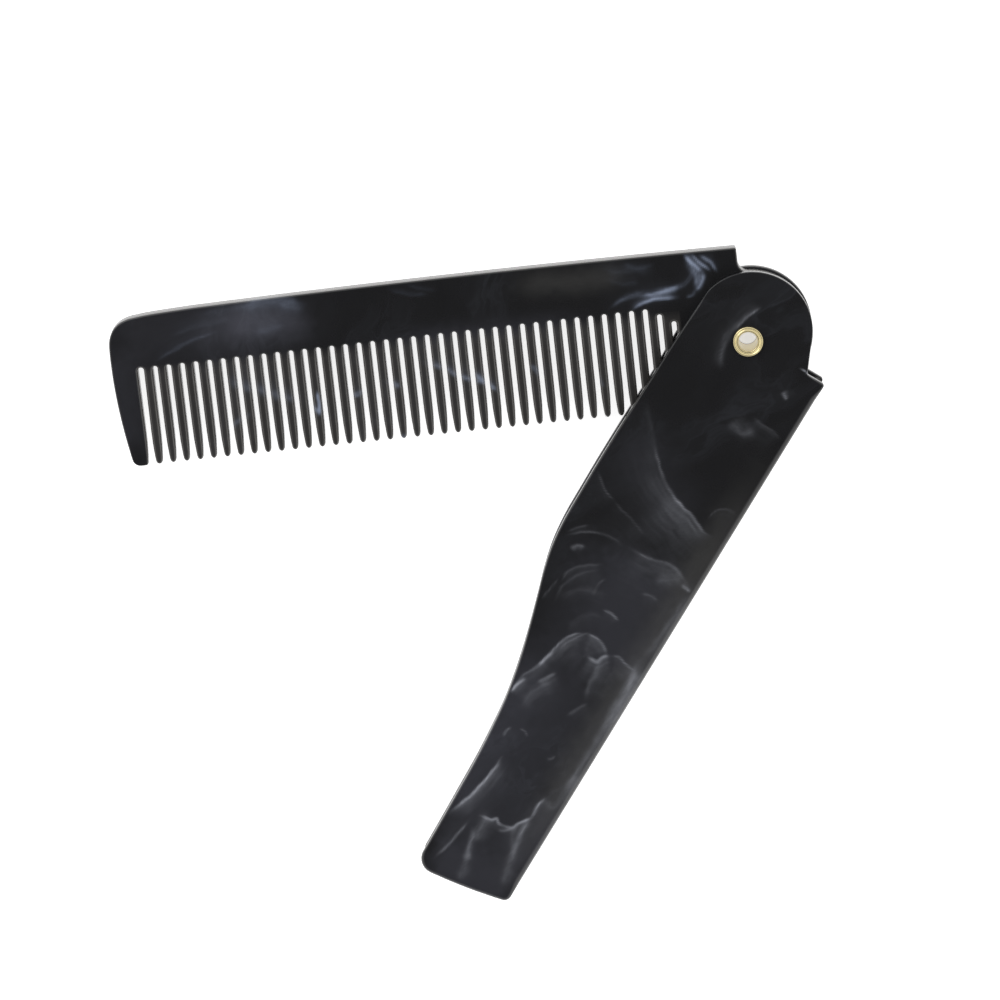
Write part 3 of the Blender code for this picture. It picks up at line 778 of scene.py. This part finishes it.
def comb_mesh(look):
    """The toothed plate: its edge is one rounded band carried along the outline, between two faces."""
    path = dense(comb_path(), look.edge_spacing / MM)[0]
    normals = inward(path)
    on_teeth = (path[:, 1] < ROOT_AT_TIP) & among_teeth(path[:, 0], 0.5)
    radius = np.where(on_teeth, look.tooth_arris, look.plate_arris) / MM
    rise = np.clip((path[:, 1] - TOOTH_END) / TIP_RISE, 0, 1)
    radius = narrowed(radius * (TIP_ARRIS + (1 - TIP_ARRIS) * rise), PLATE_BLEND)
    radius = softened(radius, PLATE_BLEND)
    half = half_plate(path[:, 1], path[:, 0])
    depth = np.minimum(np.where(on_teeth, look.tooth_drop / MM, radius), half * DROP_LIMIT)
    depth = softened(depth, PLATE_BLEND)
    hub_ring = arc((0, 0), HUB_HOLE, 0, 360, HOLE_STEP)[:-1]
    skin = Skin()
    edges = []
    rings = []
    for side in (1, -1):
        rows = arris_rows(skin, path, normals, radius, depth, half, side, PLATE_ARRIS_STEPS)
        walls(skin, rows)
        ring = skin.add(hub_ring, side * HALF_PLATE)
        spacing = (look.spacing if side > 0 else look.back_spacing) / MM
        skin.face(rows[0], [ring], lambda p, side=side: side * half_plate(p[:, 1], p[:, 0]), spacing)
        edges.append(rows[-1])
        rings.append(ring)
    skin.wall(*edges)
    skin.wall(*rings)
    return skin.mesh("comb_plate", COMB_TURN)


def rivet_mesh(look):
    """A profile of radius and height turned about the pivot: radius times (cos, sin) of the turn.

    The lower half of the profile is the upper one upside down, moved to the sunk seat.
    """
    top = HALF_STACK + RIVET_SEAT
    low = -HALF_STACK + SINK_DEPTH - RIVET_SEAT
    roll = RIVET_RISE / 2
    crest = RIVET_FLANGE - roll * ROLL_CREST
    outer = arc((crest, top + roll), roll, -80, 100, CORNER_STEP)
    lip = arc((RIVET_BORE + RIVET_LIP, top + roll * LIP_HEIGHT), RIVET_LIP, 75, 180, CORNER_STEP)
    groove = np.array([(crest - roll * GROOVE[0], top + roll * GROOVE[1])])
    upper = np.concatenate([[(RIVET_BARREL, top)], outer, groove, lip])
    lower = upper[::-1] * (1, -1) + (0, low + top)
    profile = np.concatenate([upper, lower])
    count = look.sides
    turn = np.linspace(0, 2 * math.pi, count, endpoint=False)
    rows = np.arange(len(profile) * count).reshape(len(profile), count)
    skin = Skin()
    for radius, height in profile:
        skin.add(radius * np.stack([np.cos(turn), np.sin(turn)], 1), height)
    walls(skin, [*rows, rows[0]])
    return skin.mesh("hollow_rivet", SHEATH_TURN)


# The photograph's view


def photo_view():
    """The camera's place in millimetres from the pivot, and the world's axes as the camera sees them.

    The nadir is where a line straight down from the camera meets the picture, so it gives the upright.
    """
    below = photo_ray(np.array([PHOTO_NADIR]))[0]
    upright = -below / np.linalg.norm(below)
    right = np.array([1.0, 0.0, 0.0])
    right -= (right @ upright) * upright
    right /= np.linalg.norm(right)
    axes = np.array([right, np.cross(upright, right), upright])
    depth = PHOTO_FOCAL / PHOTO_SCALE
    rivet = photo_ray(np.array([PHOTO_RIVET]))[0] * depth
    return np.array([0.0, 0.0, HALF_STACK]) - axes @ rivet, axes


def photo_ray(pixels):
    """Directions from the camera through pixels, in the camera's own axes."""
    x = (pixels[:, 0] - PHOTO_CENTRE[0]) / PHOTO_FOCAL
    y = (PHOTO_CENTRE[1] - pixels[:, 1]) / PHOTO_FOCAL
    return np.stack([x, y, -np.ones(len(pixels))], 1)


def on_face(pixels, height, turn):
    """Where the rays through pixels meet a level face, as lengths along and across an arm."""
    place_of, axes = photo_view()
    rays = photo_ray(np.asarray(pixels, float) + 0.5) @ axes.T
    reach = (height - place_of[2]) / rays[:, 2]
    spots = place_of[:2] + rays[:, :2] * reach[:, None]
    return spots @ turn.T


# The marbling, and the worn polish with a painted sheen and shade on the arrises, written on the meshes as
# attributes


def value_noise(u, v, seed):
    """Smooth random values from 0 to 1: random numbers at whole points, eased between them."""
    table = np.random.default_rng(seed).random((NOISE_SIDE, NOISE_SIDE))
    i, j = np.floor(u).astype(int), np.floor(v).astype(int)
    f, g = u - i, v - j
    f, g = f * f * (3 - 2 * f), g * g * (3 - 2 * g)
    i, j, k, m = (number % NOISE_SIDE for number in (i, j, i + 1, j + 1))
    low = table[i, j] * (1 - f) + table[k, j] * f
    high = table[i, m] * (1 - f) + table[k, m] * f
    return low * (1 - g) + high * g


def nearest_on(points, line):
    """Signed distance to a line walked through points (left is positive) and the length walked to there."""
    starts, steps = line[:-1], np.diff(line, axis=0)
    sizes = np.linalg.norm(steps, axis=1)
    away = points[:, None] - starts[None]
    share = np.clip((away * steps).sum(2) / sizes**2, 0, 1)
    gap = away - share[:, :, None] * steps
    distance = np.linalg.norm(gap, axis=2)
    best = distance.argmin(1)
    rows = np.arange(len(points))
    turn = steps[best, 0] * gap[rows, best, 1] - steps[best, 1] * gap[rows, best, 0]
    walked = lengths(line)[best] + share[rows, best] * sizes[best]
    return distance[rows, best] * np.sign(turn), walked


def wisp_light(points, wisp, line, hand, seed):
    """How much one wisp lightens each point: a core line and a streaky haze to one side of it.

    The core falls off as exp(-(distance / half width)^2) and the haze as exp(-distance / reach).
    """
    _, core_glow, core, haze, haze_glow = wisp
    core, reach = core / PHOTO_SCALE, abs(haze) / PHOTO_SCALE
    light = np.zeros(len(points))
    margin = 3 * reach + 3 * core
    near = ((points > line.min(0) - margin) & (points < line.max(0) + margin)).all(1)
    if not near.any():
        return light
    spots = points[near]
    wander = WANDER_SHARE * core + WANDER
    drift = np.stack(
        [value_noise(*(spots * WANDER_SCALE + 9 * k).T, seed + k) - 0.5 for k in (1, 2)], 1
    )
    distance, walked = nearest_on(spots + drift * wander * 2, line)
    distance = distance * np.sign(haze) * hand
    total = lengths(line)[-1]
    ends = np.clip(np.minimum(walked, total - walked) / (END_SHARE * total), 0, 1)
    ends = END_LIGHT + (1 - END_LIGHT) * ends * ends * (3 - 2 * ends)
    past = np.where((walked <= 1e-9) | (walked >= total - 1e-9), PAST_END, 1.0)
    fibres = value_noise(walked * FIBRES[0] + 5, distance * FIBRES[1] + 20, seed)
    fine = value_noise(walked * GRAIN[0], distance * GRAIN[1] + 7, seed + 5)
    grain = GRAIN_STRENGTH * min(1.0, FINE_CORE / core)
    core_part = core_glow * np.exp(-((distance / core) ** 2)) * (1 - 0.75 * grain + grain * fine)
    other_side = np.exp(-((distance / (BLEED[0] * core + BLEED[1])) ** 2))
    fade = np.where(distance > 0, np.exp(-distance / reach), other_side)
    streaks = STREAK_FLOOR + (1 - STREAK_FLOOR) * fibres + HAZE_GRAIN * (fine - 0.5)
    haze_part = HAZE_GAIN * haze_glow * fade * streaks
    light[near] = (core_part + haze_part) * ends * past
    return light


def painted(points, strokes, face_height, turn, flip, seed):
    """How much a set of strokes covers each point: what they leave bare is multiplied together."""
    bare = np.ones(len(points))
    for number, stroke in enumerate(strokes):
        line = on_face(smooth_through(stroke[0], STROKE_POINTS), face_height, turn)
        light = wisp_light(points, stroke, line, flip, seed + WISP_SEED_STEP * number)
        bare *= 1 - np.clip(light, 0, WISP_COVER)
    return 1 - bare


def marble(mesh, coats, face_height, turn, flip, toothed):
    """Writes the strokes' light on the mesh's points, the front's as charted and the back's end for end.

    The worn polish and the painted sheen are one minus the upright part of the normal, so they are whole on
    a wall.
    Teeth take more of both, and the open edge beside the rivet takes less, as painted shade where the plate
    shades it.
    """
    world = np.empty(len(mesh.vertices) * 3)
    mesh.vertices.foreach_get("co", world)
    local = world.reshape(-1, 3) / MM - PIVOT
    points = local[:, :2] @ turn.T
    behind = local[:, 2] < BACK_LEVEL
    points[behind] = points[behind] * (-1, -1) + (TIP_REACH, 0)
    normals = np.empty(len(mesh.vertices) * 3)
    mesh.vertices.foreach_get("normal", normals)
    rim = 1 - np.abs(normals.reshape(-1, 3)[:, 2])
    along, across = points.T
    # Painted shade: the open edge beside the rivet, where the plate shades it, keeps less of the sheen and
    # worn polish
    plate_shade = np.clip((PLATE_SHADE_REACH - along) / PLATE_SHADE_FADE[0], 0, 1) * (not toothed)
    plate_shade *= np.clip((-1 - across) / PLATE_SHADE_FADE[1], 0, 1)
    teeth = np.clip((ROOT_AT_TIP + 0.5 - across) / TOOTH_WEAR_AND_SHEEN_FADE, 0, 1) * toothed
    teeth *= among_teeth(along, 0.3)
    wisp, milk, warm = (
        painted(points, strokes, face_height, turn, flip, COAT_SEED_STEP * number)
        for number, strokes in enumerate(coats)
    )
    # The last layer is partly worn polish and partly a painted sheen: faces that turn sideways are
    # lightened as if lit
    layers = {
        "wisp": WISP_PEAK * wisp**WISP_CONTRAST,
        "milk": milk,
        "warm": warm,
        "wear_and_sheen": rim * (1 + TOOTH_WEAR_AND_SHEEN * teeth) * (1 - plate_shade) + TOOTH_BASE_WEAR_AND_SHEEN * teeth,
    }
    for name, values in layers.items():
        layer = mesh.attributes.new(name, "FLOAT", "POINT")
        layer.data.foreach_set("value", values.astype(np.float32))


# Materials


class Value:
    """A number or colour in a node tree. Its operators add the Math nodes that work it out."""

    def __init__(self, nodes, socket):
        self.nodes = nodes
        self.socket = socket

    def math(self, operation, *others):
        """One step of arithmetic with this value first."""
        inputs = {i + 1: other for i, other in enumerate(others)}
        return self.nodes.add("ShaderNodeMath", {"operation": operation}, {0: self, **inputs})

    def __add__(self, other):
        return self.math("ADD", other)

    __radd__ = __add__

    def __mul__(self, other):
        return self.math("MULTIPLY", other)

    __rmul__ = __mul__

    def __sub__(self, other):
        return self.math("SUBTRACT", other)

    def __rsub__(self, other):
        return (self * -1.0) + other

    def clamped(self):
        return self.nodes.add("ShaderNodeClamp", {}, {0: self})

    def above(self, level, slope):
        """How far this is above a level, times a slope, kept between 0 and 1."""
        return ((self - level) * slope).clamped()


class Nodes:
    """A node tree. One method adds every node to it, and the others are short ways to call that one."""

    def __init__(self, tree):
        self.tree = tree
        tree.nodes.clear()

    def add(self, kind, settings, inputs, output=0):
        """Adds a node with its settings, a ramp's stops among them, and its sockets' values or links."""
        node = self.tree.nodes.new(kind)
        stops = settings.get("stops")
        for name, value in settings.items():
            if name != "stops":
                setattr(node, name, value)
        if stops:
            ramp = node.color_ramp
            while len(ramp.elements) < len(stops):
                ramp.elements.new(0.5)
            for element, (position, colour) in zip(ramp.elements, stops):
                element.position = position
                element.color = (*colour, 1.0)
        for name, value in inputs.items():
            if isinstance(value, Value):
                self.tree.links.new(value.socket, node.inputs[name])
            else:
                node.inputs[name].default_value = value
        return Value(self, node.outputs[output]) if node.outputs else None

    def mix(self, factor, first, second):
        """A colour between two colours."""
        first, second = (c if isinstance(c, Value) else (*c, 1.0) for c in (first, second))
        settings = {"data_type": "RGBA", "clamp_factor": True}
        return self.add("ShaderNodeMix", settings, {0: factor, 6: first, 7: second}, 2)

    def noise(self, vector, pattern, output=0):
        """A noise pattern, given by its scale, its octaves, their roughness and how far it is distorted."""
        names = ("Scale", "Detail", "Roughness", "Distortion")
        return self.add("ShaderNodeTexNoise", {}, {"Vector": vector, **dict(zip(names, pattern))}, output)

    def vector(self, operation, inputs, output=0):
        return self.add("ShaderNodeVectorMath", {"operation": operation}, inputs, output)

    def attribute(self, name):
        return self.add("ShaderNodeAttribute", {"attribute_name": name}, {}, 2)

    def surface(self, inputs):
        """Ends a material with one principled shader."""
        shader = self.add("ShaderNodeBsdfPrincipled", {}, inputs)
        self.add("ShaderNodeOutputMaterial", {}, {"Surface": shader})


def new_nodes(name):
    material = bpy.data.materials.new(name)
    material.use_nodes = True
    return material, Nodes(material.node_tree)


# Patterns of the plastic, from the broad clouds to the pores, and then of the brass: how often each repeats
# in a metre, its octaves, their roughness and how far it is distorted
CLOUDS = (45.0, 2.0, 0.5, 0.0)
BENDS = (70.0, 3.0, 0.5, 0.0)
WAVES = (110.0, 2.0, 0.4, 0.0)
SWIRLS = (120.0, 6.0, 0.55, 0.6)
DULL_SPOTS = (300.0, 4.0, 0.6, 0.0)
GRIT = (1400.0, 3.0, 0.6, 0.0)
PORES = (2600.0, 2.0, 0.6, 0.0)
STAINS = (900.0, 3.0, 0.6, 0.0)
SCUFFS = (5200.0, 2.0, 0.5, 0.0)
# How far the swirls are bent, in metres, and the patterns' size along the arm, across it and upwards
BEND_REACH = 0.022
PATTERN_SIZE = (0.55, 1.0, 1.0)
# Where each of these sets in, on the noise that it comes from, and how steeply it grows
CLOUD_RISE = (0.42, 3.2)
SWIRL_RISE = (0.3, 2.0)
CREASE_RISE = (0.5, 5.0)
STAIN_RISE = (0.45, 2.5)
# A crease lies where the swirls' noise is at its middle, and this gives how narrow it is
CREASE_SLOPE = 9.0
# Arrises are lightened, partly by buffing and partly by a painted sheen, where their worn and sheen share
# is above this
WEAR_AND_SHEEN_START = 0.05
# The grit breaks up the wisps between these shares of their light
GRIT_RANGE = (0.75, 1.25)
# How much the dull spots and the worn arrises change the polish, and how deep the pores are against the
# waves
DULL_CHANGE = 0.08
WEAR_CHANGE = 0.06
PORE_DEPTH = 0.012
# How much of the tarnish the stains take, and how much the scuffs change the polish
STAIN_SHARE = 0.5
SCUFF_CHANGE = 0.12
# Strength of the relief and its depth in metres, on plastic and on brass
PLASTIC_RELIEF = {"Strength": 0.35, "Distance": 0.0001}
BRASS_RELIEF = {"Strength": 0.3, "Distance": 0.00003}
# How sharply the painted shade ends on the rivet's lower roll and the shade under its bore: steps in a
# metre
LIP_SHADE_EDGE = 20000.0
SHADE_EDGE = 2000.0


def plastic_material(name, look, heading, bright):
    """Polished black plastic with smoke and thin creases swirling through it.

    Over them lie the charted clouds, the buffed arrises with a painted sheen and the charted wisps. The
    polish has dull spots, shallow waves and pores.
    """
    material, nodes = new_nodes(name)
    spot = nodes.add("ShaderNodeTexCoord", {}, {}, 3)
    turned = {"Rotation": (0.0, 0.0, -math.radians(heading)), "Scale": PATTERN_SIZE}
    spot = nodes.add("ShaderNodeMapping", {"vector_type": "TEXTURE"}, {"Vector": spot, **turned})
    bend = nodes.noise(spot, BENDS, 1)
    bend = nodes.vector("SUBTRACT", {0: bend, 1: (0.5, 0.5, 0.5)})
    bend = nodes.vector("SCALE", {0: bend, "Scale": BEND_REACH})
    swirl_at = nodes.vector("ADD", {0: spot, 1: bend})
    swirl = nodes.noise(swirl_at, SWIRLS)
    cloud = nodes.noise(swirl_at, CLOUDS)
    smoke = (cloud.above(*CLOUD_RISE) * swirl.above(*SWIRL_RISE)).clamped()
    crease = 1.0 - ((swirl * 2.0 - 1.0).math("ABSOLUTE") * CREASE_SLOPE).clamped()
    crease = crease * cloud.above(*CREASE_RISE)
    wisp, milk, warm, wear_and_sheen = (nodes.attribute(coat) for coat in ("wisp", "milk", "warm", "wear_and_sheen"))
    grit = nodes.noise(spot, GRIT)
    wisp = (wisp * (grit * (GRIT_RANGE[1] - GRIT_RANGE[0]) + GRIT_RANGE[0])).clamped()
    colour = nodes.mix(smoke * look.smoke_share, look.black, look.smoke)
    colour = nodes.mix(crease * look.crease_share, colour, look.smoke)
    colour = nodes.mix(milk, colour, look.milk)
    colour = nodes.mix(warm, colour, look.warm)
    # Painted sheen, together with the buffing: the arrises and walls are lightened
    colour = nodes.mix((wear_and_sheen - WEAR_AND_SHEEN_START).clamped() * look.buffed_and_sheen_share, colour, look.buffed_and_sheen)
    colour = nodes.mix(wisp, colour, bright)
    dull = nodes.noise(spot, DULL_SPOTS)
    rough = look.roughness + (dull - 0.5) * DULL_CHANGE + wear_and_sheen.clamped() * WEAR_CHANGE
    waves = nodes.noise(spot, WAVES)
    pores = nodes.noise(spot, PORES)
    bump = nodes.add("ShaderNodeBump", {}, {**PLASTIC_RELIEF, "Height": waves + pores * PORE_DEPTH})
    nodes.surface({"Base Color": colour, "Roughness": rough, "IOR": 1.49, "Normal": bump})
    return material


def brass_material(look):
    """Bright brass with darker stains and fine scuffs, and a painted shade that darkens its lower roll."""
    material, nodes = new_nodes("rivet polished brass")
    spot = nodes.add("ShaderNodeTexCoord", {}, {}, 3)
    stain = nodes.noise(spot, STAINS)
    fine = nodes.noise(spot, SCUFFS)
    colour = nodes.mix(stain.above(*STAIN_RISE) * STAIN_SHARE, look.brass, look.tarnish)
    height = nodes.add("ShaderNodeSeparateXYZ", {}, {"Vector": spot}, 2)
    # Painted shade: the metal is darkened below a height in the bore, on the lower roll
    painted_lip_shade = ((look.painted_lip_shade_top - height) * LIP_SHADE_EDGE).clamped()
    colour = nodes.mix(painted_lip_shade * look.painted_lip_shade_share, colour, look.painted_lip_shade)
    rough = look.roughness + (fine - 0.5) * SCUFF_CHANGE
    bump = nodes.add("ShaderNodeBump", {}, {**BRASS_RELIEF, "Height": stain})
    nodes.surface({"Base Color": colour, "Metallic": 1.0, "Roughness": rough, "Normal": bump})
    return material


def floor_material(look):
    """A pale table that glows, as a light table does, so that it stays white between the teeth.

    A round spot under the rivet's bore glows less, because the rivet shades it.
    """
    material, nodes = new_nodes("pale light table")
    spot = nodes.add("ShaderNodeTexCoord", {}, {}, 3)
    rivet = (PIVOT[0] * MM, PIVOT[1] * MM, 0.0)
    away = nodes.vector("DISTANCE", {0: spot, 1: rivet}, 1)
    shade = 1.0 - away.above(look.bore_reach, SHADE_EDGE)
    dim = [level * look.bore_shade for level in look.floor]
    glow = nodes.mix(shade, tuple(look.floor), tuple(dim))
    inputs = {
        "Base Color": (*look.floor, 1.0),
        "Roughness": 0.9,
        "Specular IOR Level": 0.1,
        "Emission Color": glow,
        "Emission Strength": look.floor_glow,
    }
    nodes.surface(inputs)
    return material


# Sizes and colours that a user may change


def millimetres(name, description, default):
    return FloatProperty(
        name=name, description=description, default=default * MM, unit="LENGTH", precision=5
    )


def share(name, description, default):
    return FloatProperty(
        name=name, description=description, default=default, min=0.0, soft_max=1.0, subtype="FACTOR"
    )


def tint(name, description, default):
    return FloatVectorProperty(
        name=name, description=description, default=default, subtype="COLOR", size=3, min=0.0, max=1.0
    )


class SheathLook(bpy.types.PropertyGroup):
    back_arris: millimetres("Back arris", "Radius that rounds the sheath's straight back", 0.85)
    end_arris: millimetres("End arris", "Radius that rounds the sheath's far end", 0.55)
    round_arris: millimetres("Round end arris", "Radius that rounds the end at the rivet", 0.12)
    edge_arris: millimetres("Open edge arris", "Radius that rounds the open edge", 0.28)
    inner_arris: millimetres("Slot arris", "Radius that rounds the slot's mouth", 0.15)
    spacing: millimetres("Front mesh step", "Distance between the front face's points", 0.2)
    back_spacing: millimetres("Back mesh step", "Distance between the back face's points", 0.36)


class CombLook(bpy.types.PropertyGroup):
    plate_arris: millimetres("Plate arris", "Radius that rounds the spine and the hub", 0.25)
    tooth_arris: millimetres("Tooth arris", "Width that is rounded at each side of a tooth", 0.34)
    tooth_drop: millimetres("Tooth crown", "How far a tooth's rounded sides drop", 0.55)
    edge_spacing: millimetres("Edge step", "Distance between the outline's points", 0.5)
    spacing: millimetres("Front mesh step", "Distance between the front face's points", 0.21)
    back_spacing: millimetres("Back mesh step", "Distance between the back face's points", 0.36)


class PlasticLook(bpy.types.PropertyGroup):
    black: tint("Black", "The plastic's ground colour", (0.0115, 0.0115, 0.0125))
    smoke: tint("Smoke", "The broad grey smoke in the plastic", (0.058, 0.062, 0.075))
    # Also the colour of the painted highlight on the sheath's step
    wisp: tint("Wisp", "The brightest wisps of the sheath", (0.57, 0.59, 0.66))
    blue_wisp: tint("Blue wisp", "The brightest wisps of the comb plate", (0.47, 0.55, 0.74))
    milk: tint("Milk", "The broad milky clouds", (0.27, 0.275, 0.35))
    warm: tint("Warm grey", "The warm grey along the back and in the spine", (0.31, 0.305, 0.29))
    # Lightens the arrises: partly buffing, partly a painted sheen where they face sideways
    buffed_and_sheen: tint("Buffed arris and painted sheen", "The worn, buffed arrises", (0.16, 0.15, 0.14))
    smoke_share: share("Smoke amount", "How strong the broad smoke is", 0.25)
    crease_share: share("Crease amount", "How strong the thin creases in the smoke are", 0.2)
    buffed_and_sheen_share: share("Buffing and painted sheen amount", "How much the arrises are lightened", 0.5)
    roughness: share("Roughness", "How dull the polish is", 0.2)


class RivetLook(bpy.types.PropertyGroup):
    brass: tint("Brass", "The rivet's metal", (0.79, 0.68, 0.38))
    tarnish: tint("Tarnish", "The stained metal", (0.52, 0.43, 0.22))
    # The next three give the painted shade that darkens the rivet's lower roll
    painted_lip_shade: tint("Painted lip shade", "The dark lower roll", (0.16, 0.13, 0.09))
    painted_lip_shade_share: share("Grime amount", "How dark the lower roll is", 0.8)
    painted_lip_shade_top: millimetres("Grime height", "How far up the bore the grime reaches", 1.0)
    roughness: share("Roughness", "How dull the metal is", 0.22)
    sides: IntProperty(name="Sides", description="Sides of the turned rivet", default=96, min=12)


class StageLook(bpy.types.PropertyGroup):
    floor: tint("Floor", "The table's colour", (0.93, 0.93, 0.93))
    floor_glow: share("Floor glow", "How much the table glows", 0.85)
    bore_shade: share("Bore shade", "How much of the glow is left in the shade under the rivet's bore", 0.8)
    bore_reach: millimetres("Bore shade reach", "Radius of the shade under the rivet's bore", 1.9)
    sky: share("Sky", "Brightness of the pale surroundings", 1.0)
    key: FloatProperty(name="Key light", description="Upper left soft light", default=1.2, unit="POWER")
    fill: FloatProperty(name="Fill light", description="Lower right soft light", default=0.5, unit="POWER")


# Operators


class COMB_OT_sheath(bpy.types.Operator):
    """Build the marbled sheath: two cheeks joined along the back"""

    bl_idname = "comb.sheath"
    bl_label = "Sheath"

    def execute(self, context):
        mesh = sheath_mesh(context.scene.comb_sheath)
        marble(mesh, (SHEATH_WISPS_AND_STEP_HIGHLIGHT, SHEATH_MILK, SHEATH_WARM), HALF_STACK, SHEATH_TURN, 1.0, False)
        look = context.scene.comb_plastic
        material = plastic_material("handle marbled black", look, SHEATH_HEADING, look.wisp)
        mesh.materials.append(material)
        place(mesh, "handle", "handle")
        return {"FINISHED"}


class COMB_OT_plate(bpy.types.Operator):
    """Build the marbled comb plate with its teeth, shoulder and hub"""

    bl_idname = "comb.plate"
    bl_label = "Comb plate"

    def execute(self, context):
        mesh = comb_mesh(context.scene.comb_plate)
        marble(mesh, (COMB_WISPS, COMB_MILK, COMB_WARM), HALF_PLATE, COMB_TURN, -1.0, True)
        look = context.scene.comb_plastic
        material = plastic_material("comb marbled black", look, COMB_HEADING, look.blue_wisp)
        mesh.materials.append(material)
        place(mesh, "comb", "comb")
        return {"FINISHED"}


class COMB_OT_rivet(bpy.types.Operator):
    """Build the hollow brass rivet with its rolled ends"""

    bl_idname = "comb.rivet"
    bl_label = "Rivet"

    def execute(self, context):
        look = context.scene.comb_rivet
        mesh = rivet_mesh(look)
        mesh.materials.append(brass_material(look))
        place(mesh, "handle", "rivet")
        return {"FINISHED"}


# The stage: the table's half side and how far under the comb it lies, each soft light's place and size, the
# way to the dim patch overhead, and the surroundings' brightness from beside that patch into its middle
TABLE_REACH = 3.0
TABLE_GAP = 0.00005
KEY_LIGHT = ((-0.45, 0.5, 0.5), 0.5)
FILL_LIGHT = ((0.5, -0.3, 0.45), 0.6)
OVERHEAD = (0.0, -0.2, 0.98)
SKY_STOPS = [(0.0, (1.0, 1.0, 1.0)), (0.74, (1.0, 1.0, 1.0)), (0.9, (0.07, 0.07, 0.07))]


def soft_light(name, spot, size, power):
    """A square soft light that faces the middle of the object."""
    light = bpy.data.lights.new(name, "AREA")
    light.energy = power
    light.size = size
    lamp = bpy.data.objects.new(name, light)
    lamp.location = spot
    lamp.rotation_mode = "QUATERNION"
    lamp.rotation_quaternion = Vector(spot).to_track_quat("Z", "Y")
    bpy.context.scene.collection.objects.link(lamp)


def sky_world(look):
    """Pale surroundings with a dim patch overhead, where a photographer and a camera would stand."""
    world = bpy.data.worlds.new("pale room")
    world.use_nodes = True
    nodes = Nodes(world.node_tree)
    way = nodes.add("ShaderNodeTexCoord", {}, {}, 0)
    overhead = Vector(OVERHEAD).normalized()
    facing = nodes.vector("DOT_PRODUCT", {0: way, 1: overhead}, 1)
    glow = nodes.add("ShaderNodeValToRGB", {"stops": SKY_STOPS}, {0: facing})
    ground = nodes.add("ShaderNodeBackground", {}, {"Color": glow, "Strength": look.sky})
    nodes.add("ShaderNodeOutputWorld", {}, {"Surface": ground})
    bpy.context.scene.world = world


class COMB_OT_stage(bpy.types.Operator):
    """Set the pale table, the soft lights, the surroundings and the photograph's camera"""

    bl_idname = "comb.stage"
    bl_label = "Stage"

    def execute(self, context):
        look = context.scene.comb_stage
        table = bpy.data.meshes.new("table")
        corners = [(-1, -1), (1, -1), (1, 1), (-1, 1)]
        places = [(x * TABLE_REACH, y * TABLE_REACH, -TABLE_GAP) for x, y in corners]
        table.from_pydata(places, [], [(0, 1, 2, 3)])
        table.materials.append(floor_material(look))
        floor = bpy.data.objects.new("table", table)
        context.scene.collection.objects.link(floor)
        soft_light("key light", *KEY_LIGHT, look.key)
        soft_light("fill light", *FILL_LIGHT, look.fill)
        sky_world(look)
        spot, axes = photo_view()
        lens = bpy.data.cameras.new("photo camera")
        lens.sensor_width = SENSOR
        lens.lens = PHOTO_FOCAL / PHOTO_WIDTH * SENSOR
        lens.clip_start = 0.01
        camera = bpy.data.objects.new("photo camera", lens)
        turn = Matrix(axes.tolist()).to_4x4()
        camera.matrix_world = Matrix.Translation(Vector((PIVOT + spot) * MM)) @ turn
        context.scene.collection.objects.link(camera)
        context.scene.camera = camera
        context.scene.view_settings.view_transform = "Standard"
        return {"FINISHED"}


class COMB_PT_panel(bpy.types.Panel):
    """Lists the comb's pieces and their settings"""

    bl_idname = "COMB_PT_panel"
    bl_label = "Folding comb"
    bl_space_type = "VIEW_3D"
    bl_region_type = "UI"
    bl_category = "Comb"

    def draw(self, context):
        rows = (
            ("comb.sheath", context.scene.comb_sheath),
            ("comb.plate", context.scene.comb_plate),
            ("comb.rivet", context.scene.comb_rivet),
            ("comb.stage", context.scene.comb_stage),
        )
        for idname, look in rows:
            box = self.layout.box()
            box.operator(idname)
            for name in look.__annotations__:
                box.prop(look, name)
        box = self.layout.box()
        box.label(text="Plastic")
        for name in PlasticLook.__annotations__:
            box.prop(context.scene.comb_plastic, name)


LOOKS = {
    "comb_sheath": SheathLook,
    "comb_plate": CombLook,
    "comb_plastic": PlasticLook,
    "comb_rivet": RivetLook,
    "comb_stage": StageLook,
}
CLASSES = (
    *LOOKS.values(),
    COMB_OT_sheath,
    COMB_OT_plate,
    COMB_OT_rivet,
    COMB_OT_stage,
    COMB_PT_panel,
)


def register():
    for item in CLASSES:
        bpy.utils.register_class(item)
    for name, look in LOOKS.items():
        setattr(bpy.types.Scene, name, PointerProperty(type=look))


def unregister():
    for name in LOOKS:
        delattr(bpy.types.Scene, name)
    for item in reversed(CLASSES):
        bpy.utils.unregister_class(item)


def main():
    register()
    bpy.ops.comb.sheath()
    bpy.ops.comb.plate()
    bpy.ops.comb.rivet()
    bpy.ops.comb.stage()


if __name__ == "__main__":
    main()
